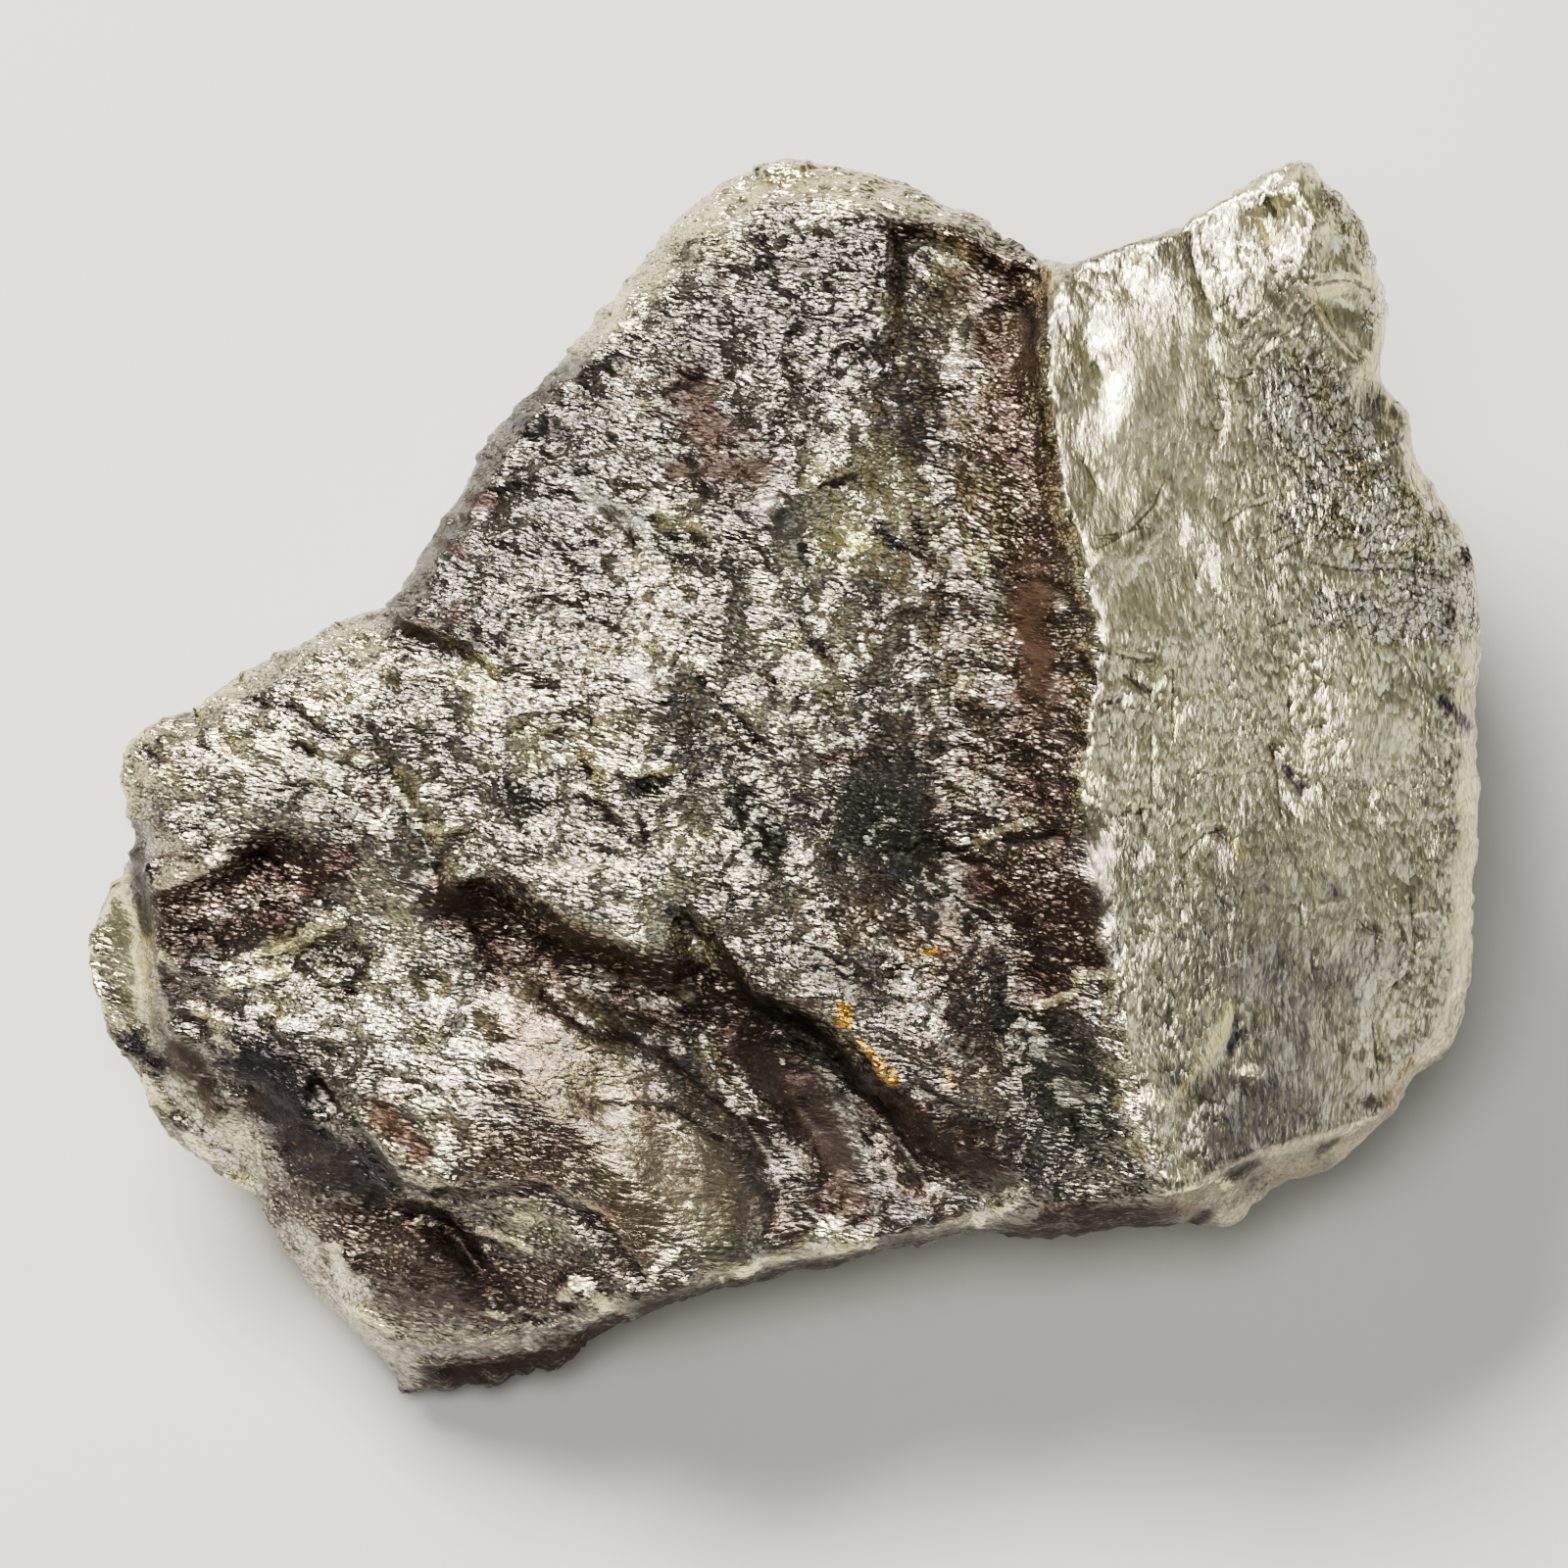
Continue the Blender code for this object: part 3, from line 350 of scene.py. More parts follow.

# Pits, hollows and the shadow lines under overhanging edges, given in the same way: cut in and painted dark,
# which is painted shade.
PITS_AND_SHADOWS = [
    (0.42, -4.8, 25.4), (0.26, -4.4, 26.1, -3.4, 26.2), (0.34, -2, 24.6), (0.19, -3, 24.2, -3.2, 22.8),
    (0.26, -0.4, 25, 1, 24.8), (0.19, -7.9, 21.4, -7.5, 21.3), (0.19, -8.4, 20.4, -7.6, 20.3),
    (0.21, 1, 21.6), (0.19, 2.8, 21.6, 4.2, 22.2), (0.24, -12, 19, -11.2, 18.4),
    (0.26, -5.6, 18.7, -4.2, 19.1, -3.2, 18.9), (0.21, -6.6, 17.7, -5.6, 17.6), (0.19, -5.6, 13.8, -4, 13.9),
    (0.29, -5.2, 15, -1, 15.2), (0.31, 9.9, 25, 10.6, 24, 11.3, 22.6, 12, 21.6),
    (0.15, 11, 24.6, 11.7, 24.7, 12.1, 24.1), (0.17, 11.3, 21.8, 11.9, 20), (0.20, 1.8, 14.2, 3.4, 14.6),
    (0.20, 0.8, 11.4, 1.2, 10.4), (0.31, -5.4, 11.8, -4, 11.6), (0.22, -5, 10.8, -3.6, 10.6),
    (0.26, -15.7, 6.6, -14.6, 6.6, -14.8, 7), (0.26, -19, 8.1, -17.2, 7.1, -15.2, 6, -13.4, 5.1),
    (0.15, -18, 2.2, -17.2, 2.5, -16.4, 2.2), (0.24, -11, 3.2, -10, 3.3, -9.3, 3.1), (0.24, -10.7, 2.6),
    (0.27, -9.6, 1, -9.5, 0.4), (0.24, -9.8, -0.6, -9.2, -1), (0.20, -9.4, -1, -8.4, -1.6, -7.4, -2.6),
    (0.19, -6.8, -1.6, -6.4, -3.4), (0.24, -7.7, 0.3, -6.6, 0, -5, 0.1, -4, 0.3),
    (0.15, -7.4, -0.4, -5.6, -0.3), (0.17, -4, 5, -3, 3.8, -1.6, 2.4, -1, 1.8), (0.22, -1.4, 4.4, -0.4, 4.9),
    (0.31, 1.4, 6.6, 2.6, 6.2), (0.19, 0.8, 4.2, 0.5, 3.4), (0.27, 14.2, 5.8, 14.8, 4.8),
    (0.24, 13, 2.4, 14.2, 1.9), (0.26, 12, 0, 13.8, 0), (0.27, 10.6, -2.9, 13.2, -2.6),
    (0.29, 12.6, 9.4, 13.4, 8.8, 14.4, 7.8),
    (0.21, -2.4, -9.6, -1, -10.8, 1.6, -12.2, 2.6, -13, 3.4, -14, 4.6, -15.3, 5.4, -17, 6.8, -19.2),
    (0.22, 6.6, -14.6, 7.6, -15.4, 8.6, -15.9, 10, -17), (0.26, 7.6, -17.6, 8.6, -18.6, 11, -19.2),
    (0.34, -16.2, -5.4, -15.6, -5.6),
    (0.19, -11.6, -5.8, -10.4, -7.2, -9, -8, -7, -8.5, -5, -8.8, -4.2, -8.6),
    (0.26, -11.5, -10, -10.2, -11, -9, -12, -7, -12.2, -5.6, -12.6, -4.6, -13.6, -3.6, -14.8, -2, -16, -0.6,
     -18), (0.25, -5.4, -6, -4.4, -7, -3.8, -7.6),
    (0.31, -3.4, -7, -2.6, -9, -1.8, -10.4, -0.4, -11.4, 1.4, -12), (0.12, -9, -15.4, -5, -15.6, -3, -17),
    (0.29, -16, -19.9, -13, -19.4, -11.5, -19.4, -10.4, -20.3, -9, -20.8, -8.4, -21.4, -7.6, -22.8, -6.8,
     -23.8), (0.36, -9.4, -21, -8.6, -21.6, -7.8, -22.6), (0.26, -25.8, 4, -24, 3.8, -22.4, 2.6, -21.4, 2.2),
    (0.24, -23.6, 2, -22.6, 1.6), (0.22, -30.8, 1.6, -30, 1), (0.17, -28.2, 2, -27.6, 1.9),
    (0.22, -29, -2.1, -27.2, -2.2), (0.26, -20, 0.5, -19, 0.8), (0.19, -21.8, -1.4, -20.6, -1.4),
    (0.17, -19.2, -0.1, -18.4, -1.3, -17.7, -2.3, -17, -3.3, -16.7, -4.4, -16.2, -5.4),
    (0.47, -22.6, -8.2, -20.4, -8.4, -21, -9.6), (0.36, -28.4, -8.4, -27.2, -8.2),
    (0.31, -29, -11.2, -28, -11.8), (0.19, -17.4, -10.8), (0.17, -16, -12.3),
    (0.22, -24.8, -12, -23.4, -13.2, -22.4, -14.6, -21.8, -15.4, -20.6, -16.2, -19.6, -17.6, -18.6, -19.2,
     -17, -19.8, -14, -19.6), (0.31, -31.3, -2.2, -31.1, -5.2, -30.8, -7),
    (0.20, -29.8, -12.6, -28.4, -13, -27.6, -14.4),
    (0.24, -18.6, -20.3, -17, -20.6, -16.2, -21.2, -15.4, -22.2, -14.8, -23.2),
    (0.17, -11, -25, -9.8, -25.3), (0.13, 26.1, 14.9, 27.2, 15.5, 28.2, 15.9, 29.8, 16.6),
    (0.10, 14.8, 6.3, 16.2, 6, 16.9, 5.8, 17.6, 5.9), (0.16, 23.3, 1.9, 23.6, 1.2, 24.2, 0.4, 24.8, -0.4),
    (0.11, 25.4, 23.8, 26.2, 24, 27.4, 24, 28.2, 23.6), (0.14, 21.8, 27.9, 23.2, 27.9, 23.3, 27.2),
    (0.10, 24.8, 25.4), (0.14, 16.2, 5.2, 17.6, 4.2), (0.11, 15, 3.8, 16.2, 4),
    (0.14, 16.2, -1.4, 17.4, -1.2), (0.11, 20.6, -2.2, 21.4, -2.8), (0.16, 21.3, -12.6, 21.6, -11.4),
    (0.18, 21.4, -18.8, 22.6, -18.2), (0.16, 25.7, -17.6, 26.5, -17.2), (0.26, 19.4, -21.4, 20.3, -20.8),
]

# Sharp edges, given in the same way: raised a little and painted bright, which is painted highlight on edges
# that catch the light.
LIT_EDGES = [
    (0.11, -12.4, 17.9, -11.2, 17.4), (0.09, -5.2, 16, -2.2, 15.9), (0.10, -1, 17.2, 0.2, 16.8),
    (0.10, 0.8, 17, 1.8, 16.7), (0.10, 7.2, 25.4, 7.8, 26.4), (0.08, 5.1, 27, 5, 24.8, 4.9, 23),
    (0.12, 4.3, 24, 3.9, 22.8), (0.09, 12.2, 22.8, 12.3, 20.4), (0.11, 12.1, 15.1, 12.9, 15.3),
    (0.11, 12, 14.2, 13.4, 14, 13.6, 13.2, 13.9, 12.2), (0.11, 12.8, 13.2, 13.1, 12, 13.8, 10.6),
    (0.09, 9.7, 18.3, 10.9, 18.1), (0.09, 8.5, 16.6, 9.6, 16.2), (0.09, 11, 13.1, 12, 13.6),
    (0.12, 0.5, 13.9, 1.4, 14.6, 2.4, 15, 3.8, 15), (0.10, -5.5, 12.4, -4.4, 12.4),
    (0.10, -3.4, 6.1, -2.8, 6.1), (0.08, -5.6, 5.3, -4, 5.3), (0.11, 13.8, 6.9, 14.8, 6.4, 15.4, 6),
    (0.10, 13.4, 2.6, 15, 2.6), (0.10, 12.6, 1.3, 14.6, 1.4), (0.11, 12.8, 0.5, 14, 0.5),
    (0.08, 12.4, 4.4, 13.8, 4.6), (0.10, 6.8, -0.4, 7.8, -0.5), (0.10, 4.8, -1.6, 5.4, -1.9),
    (0.12, 12.4, -3.4, 13, -3), (0.10, 12.2, -4.5, 13, -4.2), (0.08, 12.9, -5.3, 13.4, -5.2),
    (0.09, 13.2, -10.8, 15, -10.4, 16.2, -10.4), (0.11, 15, -11.3, 15.6, -10.9),
    (0.09, 15.4, -11.7, 16.3, -11.6), (0.11, 15, -13.4, 15.8, -13.9),
    (0.12, 18.2, -15.2, 19.2, -14, 20, -13, 20.6, -12.6), (0.08, 20.2, -10.2, 19.1, -11.3, 18.4, -12.2),
    (0.09, 22.2, -12.3, 22.8, -12), (0.08, 21.4, -11.9, 21.8, -11.6), (0.11, 21.5, -14.5, 20.8, -15.8),
    (0.08, 22.3, -14.3, 22.7, -13.9), (0.08, 19.4, -18.8, 20, -18.1),
    (0.08, 18.2, -19.6, 19.6, -19.2, 20.8, -18.9), (0.11, 27.5, -16.2, 27.8, -16),
    (0.10, 0.6, -13.6, 0.8, -13.3), (0.11, 0.6, -14.4, 0.9, -14.6), (0.11, -3.9, -13.2, -3.5, -13.2),
    (0.10, -5.1, -16.2, -4.8, -16.1), (0.12, 5, -16.6, 5.6, -16.8), (0.08, 5.8, -16.8, 6.4, -16.7),
    (0.12, 4.9, -19.8, 5.2, -19.9), (0.11, 9.2, -19.4, 9.5, -19.5), (0.10, -1, -22.8, 1.4, -22.7, 3, -22.3),
    (0.08, -5.6, -24.4, -5.2, -24.4), (0.08, -2.7, -24.6, -2.3, -24.6),
    (0.10, -12.6, -18.9, -11, -18.7, -9.9, -17.8), (0.10, -9.6, -17.4, -9, -17),
    (0.08, -10.6, -19.3, -10.3, -19), (0.09, -28, -6.9, -27, -6.9), (0.10, -27, -10.1, -25, -10.2),
    (0.09, -25.4, -17.6, -25, -19), (0.10, -14.4, -22.4, -13.4, -23.6),
    (0.10, -10.4, -21, -9.8, -21.8, -9, -22.3), (0.12, -19.8, -22.5, -19.2, -22.4),
    (0.10, -16.4, -26.2, -15.8, -26.4), (0.10, -15, -26.8, -13, -26.2, -11, -26, -9, -25.6),
    (0.11, 20, 10.2, 20.4, 10.9), (0.08, 28.2, 1, 29.4, 1, 29.7, 2), (0.12, 31.6, 2.1, 33, 2.2),
    (0.08, 25.4, -5.9, 26.6, -5.6), (0.08, 18, -7.5, 18.8, -6.7, 19.6, -6.3), (0.09, 30.2, -6.3, 31.4, -6.1),
    (0.09, 32.1, -6.2, 32.4, -6.1), (0.09, 30.2, -8.3, 30.5, -8.1), (0.12, 32.2, -10.1, 32.8, -9.7),
    (0.08, 21.2, -8.6, 21.9, -8.3),
]

# Flakes and plates, given in the same way: raised, turned to the light, and painted bright as well, which is
# painted highlight.
FLAKES = [
    (0.19, -4.2, 12.3, -3.5, 11.9), (0.19, -17, -2.2, -15.6, -2.1), (0.24, -7, 0.9, -5.6, 0.7),
    (0.19, -4.2, 6, -3.8, 5.6), (0.22, 9.2, -2.8, 10.4, -2.2, 11.8, -1.8), (0.19, 15.2, -7.2, 15.8, -6.8),
    (0.26, 14, -9.2, 15.8, -8.9), (0.21, 12, -10.6, 13, -10.3, 13.9, -10), (0.12, 15.8, -12.5),
    (0.32, 16, -15.2, 17.6, -14.9, 18.2, -15.4), (0.32, 16.7, -16.2, 17.8, -17.7),
    (0.22, 18, -18.6, 18.8, -18.7), (0.22, 22, -13.7, 22.4, -13.6), (0.19, 27.3, -12.7, 27.4, -12.4),
    (0.14, 28, -13.5), (0.22, 28.5, -17, 28.7, -16.7), (0.16, 2.3, -13), (0.16, -0.1, -13.3),
    (0.14, -4.9, -13.5), (0.13, -3.8, -14.9), (0.16, -2.9, -15.9), (0.12, 6.5, -17.5), (0.21, -4.4, -20.2),
    (0.18, -4.2, -7.7), (0.24, 9.6, -19.8, 10.4, -20.3, 11.1, -19.9), (0.22, 10.6, -19.5, 11.4, -19.3),
    (0.26, 9.3, -20.7, 9.4, -21.1), (0.34, 1.5, -21.8, 2.5, -21), (0.30, 2.8, -22, 3.7, -21.8, 4.3, -21.9),
    (0.27, -2.1, -23.5, -1.4, -23), (0.24, -6.4, -23.8, -5.9, -22.9, -5.1, -22.4), (0.12, -3, -23.8),
    (0.16, -4.7, -23.8), (0.19, -19.6, -2, -19, -1.4), (0.40, -30, -4.7, -28, -4, -27, -3.3),
    (0.18, -25.2, -5.4), (0.16, -25.4, -5.9), (0.36, -23.6, -7.6, -22, -6.6, -21.4, -6.6),
    (0.19, -27, -8.7, -25.6, -8.2, -24.2, -7.8), (0.29, -27, -9.6, -24, -9), (0.21, -30, -8.2, -29.2, -8.8),
    (0.32, -28.4, -10.8, -26.9, -11.6), (0.22, -27.4, -12.2, -26.4, -12.8), (0.40, -15, 5.4, -13.8, 5.2),
    (0.24, -33.6, -8, -33.2, -10.5, -31.8, -12), (0.32, -31, -14.4, -30, -15.6),
    (0.32, -28.8, -17.2, -27.8, -18), (0.32, -26.8, -18.8, -26, -19.4), (0.21, -24.8, -20.4),
    (0.16, -26.9, -14.9), (0.32, -21.6, -22.4, -21.2, -24), (0.22, -21, -25.2, -19, -26.4),
    (0.19, -14.6, -21.4, -13, -21.8, -12.2, -22.4), (0.19, -12.8, -20.8, -12.2, -21),
    (0.34, -10.6, -24.6, -9.8, -23.8, -8.6, -25), (0.24, -17.6, -21.1), (0.21, -14.2, -25.4, -13.6, -25.6),
    (0.18, -16.2, -25.2), (0.19, 31.2, 5.6, 32.8, 5.2), (0.16, 20.1, -1.9), (0.16, 21.5, -0.5),
    (0.12, 25, -4.3), (0.12, 28.4, -8.8), (0.16, 33, -9.3), (0.12, 19.3, -8), (0.12, 16.6, -8.3),
    (0.21, 21.1, -19.2, 21.3, -19.1),
]

# Where each stain, and each patch of painted light or shade, lies: share, half width, then u, v along its
# middle.
STAINS = {
    # purple-brown tarnish; over the dark slope beside the ridge and in the hollows it is partly painted
    # shade
    "plum_and_shade": [
        (0.9, 2.2, 10.2, 24, 10.8, 19, 11.2, 13, 12.4, 7, 12, 0, 12.2, -5, 12.8, -9.4),
        (0.50, 3.6, 8, 24, 8.2, 14, 8.8, 5, 9, -3, 9.6, -8),
        (1, 1.4, 9.6, -4.6, 13.4, -5.6, 14.4, -8, 12.8, -9.4),
        (0.9, 0.6, 5.3, 26.4, 7, 26.6, 8.6, 26.2, 10, 25), (0.9, 0.7, -5.2, 15, -1, 15.2),
        (0.9, 0.6, -4.6, 17, -4, 16.3), (0.65, 2.1, -4.2, 18, -2.4, 16, -1.6, 14.6),
        (0.5, 1.2, -4.8, 25.5, -2, 24.6), (0.75, 0.5, 6.2, 13, 6.6, 11, 7, 10),
        (0.75, 0.6, 8.2, 3.8, 9.2, 3.6), (0.75, 0.5, 2, 1.2, 4.4, 1.4), (0.75, 0.6, 8.4, 1, 10.8, 1.4),
        (0.8, 0.5, -15.8, 13.9, -13.4, 13.4), (0.8, 0.4, -16.4, 11.6, -15.2, 11),
        (0.6, 0.5, -18.5, 8.8, -17.4, 9.6), (0.7, 0.6, -17.8, 7.2, -16.2, 7.6, -15.4, 8.4),
        (1, 1.2, -15.8, -6, -14, -7, -13.5, -9), (1, 1.2, -12, -8, -9, -9.6, -6, -10.4, -4, -10.6),
        (0.9, 1.6, -3, -9.6, -2, -12, 0, -14, 1.5, -17, 3, -20), (0.8, 1.6, 5, -15.6, 8, -17, 9.8, -18),
        (0.5, 1.2, 0.6, -18, 3.4, -20),
        (1, 1.1, -30, -5.4, -27.5, -5.2, -25, -4.2, -22.6, -3.6, -21.4, -3.8),
        (1, 1, -29.5, -7, -26, -7, -24, -6), (0.9, 0.8, -25.4, -15.4, -24, -15.6),
        (0.9, 0.9, -29.4, -13, -28.6, -14.6, -27.8, -15.6), (0.8, 2, -21, -21, -18, -22, -14, -24),
        (0.7, 2.4, -24, -20, -17, -24.6, -10, -24), (0.7, 0.7, 31.2, 9.6, 32, 8.4, 31.2, 7),
        (0.7, 0.4, 32.6, 8.6, 33.2, 7.6), (0.7, 0.25, -29.8, -3.4, -28.6, -3.4),
        (0.7, 0.45, -20, -0.6, -19.2, -0.8), (0.8, 0.6, 12.6, -20.6, 17, -20.4),
        (0.7, 0.6, -12.5, -5, -13.2, -4.6), (0.8, 1.5, -4.6, 19, -3.2, 16.4, -2.4, 14.8),
        (0.9, 1.2, -28, -4.6, -24.6, -3.2, -23, -4.6), (0.8, 0.8, -30, -6.4, -29.4, -8.2),
        (1, 1, -16.5, -5.4, -12, -6.6, -8.5, -8.4, -5.5, -9),
    ],
    "rust": [
        (0.9, 1, 12, 9.2, 11.6, 7.6, 12, 6, 12.2, 4.8), (0.6, 0.8, 11.2, 4.2, 13, 3.6),
        (1, 0.85, -19.4, -15.4, -18.6, -16.6, -17.4, -17.6),
        (0.9, 0.9, -16, -28.6, -12, -28, -9.6, -27, -8, -26.2),
        (0.6, 0.45, 30, -13.2, 29.4, -14.2, 28.9, -15.6), (0.8, 0.4, -26.2, -4.6), (0.8, 0.4, -23, -5.2),
        (0.8, 0.3, -24.2, -6.6), (0.8, 0.35, -30.2, -8.8, -29.4, -9.8), (0.6, 0.5, -28.6, -5.8, -27, -5.8),
        (0.7, 0.3, 0.6, -10.3, 2.4, -10.6), (0.5, 0.6, -18, -18.4, -14.4, -18.4),
    ],
    "blue": [
        (1, 1.3, -26, -13.4, -24, -14, -23.6, -16.8, -22, -18, -19.6, -19),
        (0.9, 0.5, -31.8, -12.4, -30, -13.6), (0.8, 0.5, -31.3, -2.2, -31.1, -5.2, -30.8, -7),
        (0.7, 0.5, -12.6, 17.3, -10.6, 17), (0.6, 0.45, 4.4, 12.4, 5.4, 11.4),
        (0.5, 0.8, -22, -26, -20, -28, -18, -29.6), (0.7, 0.5, -0.8, -10.8, 1, -11.2),
        (0.5, 0.4, 25.6, -4.4, 26.4, -5.4), (0.6, 0.35, 21.3, -12.6, 21.8, -11.8),
        (0.35, 0.5, 21, -17, 22.6, -15, 23.4, -13.6), (0.4, 0.4, 33, -9, 32, -12.4),
        (0.7, 0.4, 31.4, 4, 32.8, 2.8),
    ],
    "gold": [
        (1.1, 0.40, 2.9, -10.8, 2.9, -11.3), (0.8, 0.32, 3.6, -12.4, 4.4, -13.2, 5.2, -14),
        (0.7, 0.22, 6.8, -8, 7.2, -7.9), (0.6, 0.25, 8.1, -12.4, 8.4, -12.4),
        (0.5, 0.3, 7.8, -13.6, 8, -14.4), (0.35, 0.28, 30, -13.4, 29.5, -14.2, 29.1, -15.2),
    ],
    "lemon": [
        (1, 0.42, 21.2, -10.6, 20.9, -11.4, 20.5, -12.4), (0.8, 0.25, 20, -13, 18.8, -14.6),
        (0.9, 0.28, 21.4, -2.7, 21.8, -3.4), (0.5, 0.5, 23.6, 28.4, 24.6, 27.2),
        (0.36, 2.2, -12, -12.4, -9, -14.4),
    ],
    # pale metal; along the lit rims and the bright bands it is partly painted highlight
    "pale": [
        (1, 1.3, -9.4, 21.8, -6, 25.6, -1, 29, 3, 28.8, 8, 26.6, 11.6, 24.4),
        (0.6, 4.2, -13, 8, -10, 2, -7, -4), (1, 1, -31.5, 1.8, -28, 3.8, -26, 4.8, -23, 6, -20, 7.8),
        (0.9, 1, -20, 6.6, -15, 5, -14, 4),
        (1, 1.1, -24.6, -10.4, -22, -10.8, -19.6, -11, -16, -11.6, -15, -13),
        (0.9, 1.5, -17.5, -12, -17.5, -14.6), (0.45, 0.8, -13, -11, -10.4, -12.6, -8, -13.6),
        (0.9, 0.8, -33.6, -6, -32.5, -5, -31.7, -8, -31.2, -11), (0.6, 0.5, -31, -10.8, -30.4, -13),
        (0.7, 1, -23.8, -22, -22, -23.6, -20.8, -24.6), (0.8, 0.9, 20.6, 27, 24.4, 29, 26.6, 26.6),
        (0.7, 2.6, 15.4, 22, 16, 14, 17.6, 8), (0.6, 4, 20, 22, 21, 12, 21, 4),
        (0.8, 0.9, 14.4, -0.2, 16.6, -0.6), (0.8, 0.6, 15.9, -6.6, 16, -9, 16.2, -11),
        (0.8, 1, 15.8, -12.4, 17, -15, 17.8, -17.4, 18.6, -18.8), (0.9, 0.6, 21.2, -20.9, 23.2, -20.4),
        (0.6, 0.6, 23.8, -18.6, 25.2, -18.4), (0.7, 0.6, 26.8, -17.8, 28.4, -17.2),
        (0.8, 0.7, 1, -22, 4, -21.6), (0.6, 0.4, -3, -17.4, -8, -14.6), (0.7, 2.2, -32, 0, -26, 2, -21, 4.4),
        (0.6, 1.5, -21, -9.4, -17, -11),
    ],
    "rose": [
        (0.9, 1.8, -14, -17.5, -9, -18, -3, -18.6), (1, 1.4, -8, -20, -6.4, -21, -7.2, -22),
        (0.8, 1.6, -3, -20, 0, -21), (0.8, 0.6, 4.6, -17.4, 6.2, -19.4, 8, -20.6),
        (0.8, 2, 3.6, -7, 7, -8.4, 7, -12, 9, -13.4), (0.5, 1.4, -30, 2.2, -27, 0.6),
        (0.8, 0.4, -5.6, -13.4), (0.7, 0.6, 18, -20.4, 19.4, -20.3), (0.7, 0.5, 23.8, -18.8, 25.2, -18.6),
        (0.6, 0.5, -3.4, -11, -1.6, -14, -0.8, -16), (0.7, 0.3, 29.6, -14.8, 29, -16),
        (0.8, 3.4, -12.4, -12.8, -9.4, -15.4, -5, -18.4),
    ],
    "green": [
        (0.9, 0.5, -9.6, 15, -9.2, 14.2), (0.9, 0.5, -9.6, 13.7, -8, 13.2, -6.6, 12.6),
        (0.9, 0.6, -7, 12, -5.2, 11), (0.8, 0.3, -12.2, 13.5, -11.4, 13.5),
        (0.8, 0.3, 11.2, 22.4, 11.6, 20.2), (0.5, 0.6, -0.6, 13.4, 0.2, 12), (0.7, 0.6, 0.2, 7.6, 1, 8.2),
        (0.7, 0.6, -13.4, -0.2, -11.6, -1), (0.9, 1, -2, -1, -0.8, -3), (0.7, 0.5, 4.6, -0.8, 6, -0.8),
        (0.8, 0.5, 3.8, -2.6, 5.2, -2.6), (0.7, 0.4, 4.8, -4.8), (0.9, 0.7, 6.6, -4.2),
        (0.9, 1.9, 10.4, -12, 13, -13.6, 14.6, -16), (0.4, 0.8, 10.6, -15.6, 12, -16.6),
        (0.8, 0.7, 1.5, -8.5, 3.6, -9.8), (0.6, 0.9, -29.4, -13, -28, -15),
        (0.8, 2, 4, -1.6, 7, -3.6, 9, -5), (0.8, 0.8, -7, -25, 2, -23.6, 8, -22, 12, -21.6, 18, -21.6),
        (0.35, 2, -11, 20, -13, 15, -16, 10.4), (0.5, 0.8, 14.6, -3, 15.4, -6), (0.5, 0.8, 28.6, 2),
        (0.35, 1, 27, 22, 28, 23.2), (0.5, 0.8, 22.6, -19), (0.35, 2, 12, -18, 15, -18.6),
    ],
    "calm": [
        (0.3, 1.8, 5.2, -10.8, 7.2, -12.8), (0.5, 1.5, 1.8, -15.4, 3, -17.6),
        (0.85, 2.4, -9.2, -14.4, -8, -16.6), (1, 2.2, -5, -19, -3, -20.4), (0.4, 1.2, 12.8, -9, 13.4, -14),
        (0.35, 1.6, 6.1, -1.4, 6.1, -3.4), (0.35, 1.6, 8.4, 23.2, 8.6, 21), (0.4, 1, 12, 7.2, 12.4, 4.2),
        (0.4, 1.8, -17.4, -23.8, -15.4, -24.8), (1, 3.6, -11, -13.6, -7, -17.6, -2.4, -20),
        (0.8, 1, -18.6, -4, -17.8, -4.8), (0.9, 0.6, -9.6, 13.7, -7.2, 12.6),
        (0.9, 0.8, -0.6, 13.4, 0.2, 12), (0.9, 0.9, -7, 5), (0.7, 0.5, -26.2, 0.6, -24.6, 1.4),
        (0.8, 0.8, 1.5, -8.5, 3.6, -9.8), (0.8, 1, -33.6, -6, -32.5, -5, -31.7, -8, -31.2, -11),
        (0.8, 0.8, -29.4, -13, -28.6, -14.6, -27.8, -15.6), (0.8, 0.8, -22, -26, -20, -28, -18, -29.6),
        (0.9, 1, 27, 22, 28, 23.2), (0.9, 1, 28.6, 2), (0.8, 0.8, 14.6, -3, 15.4, -6),
        (0.7, 0.8, 21, -17, 22.6, -15, 23.4, -13.6), (0.9, 0.8, 26.6, -17.8, 28.4, -17),
        (0.8, 1.2, -4, -22, 3, -23.6, 12, -21.4, 18, -21), (0.6, 1.6, 0, -14, 3, -18, 8, -20),
        (0.55, 4, 25, -7, 24, -16), (0.4, 3, 18, 20, 17, 10), (0.9, 2.4, -6, -20.6, 0, -21.4),
    ],
    # loose grains, as in the bright band of the left block and the sparkling part of the right face
    "grit": [
        (1, 1.1, -24.6, -10.4, -22, -10.8, -19.6, -11, -16, -11.6, -15, -13),
        (0.9, 1.4, -17.5, -12, -17.5, -14.6), (1, 2.3, 25, 18, 27, 14, 30, 11.5, 32.6, 9),
        (0.8, 1.2, 24.5, 13), (0.8, 1.2, 26, 8.4, 30, 7.6), (0.8, 0.9, 26.4, 28, 28.4, 25.4),
        (0.8, 0.5, 28, 22, 29, 24), (0.8, 0.8, 16.6, -16, 17.8, -17.8),
        (0.8, 0.9, -23.8, -22, -22, -23.6, -20.8, -24.6), (0.6, 1.2, -29.6, -15, -26, -19.4),
        (0.7, 0.5, 1.5, -21.8, 4.3, -21.8), (0.7, 0.5, 9.4, -20.4, 11.4, -19.6),
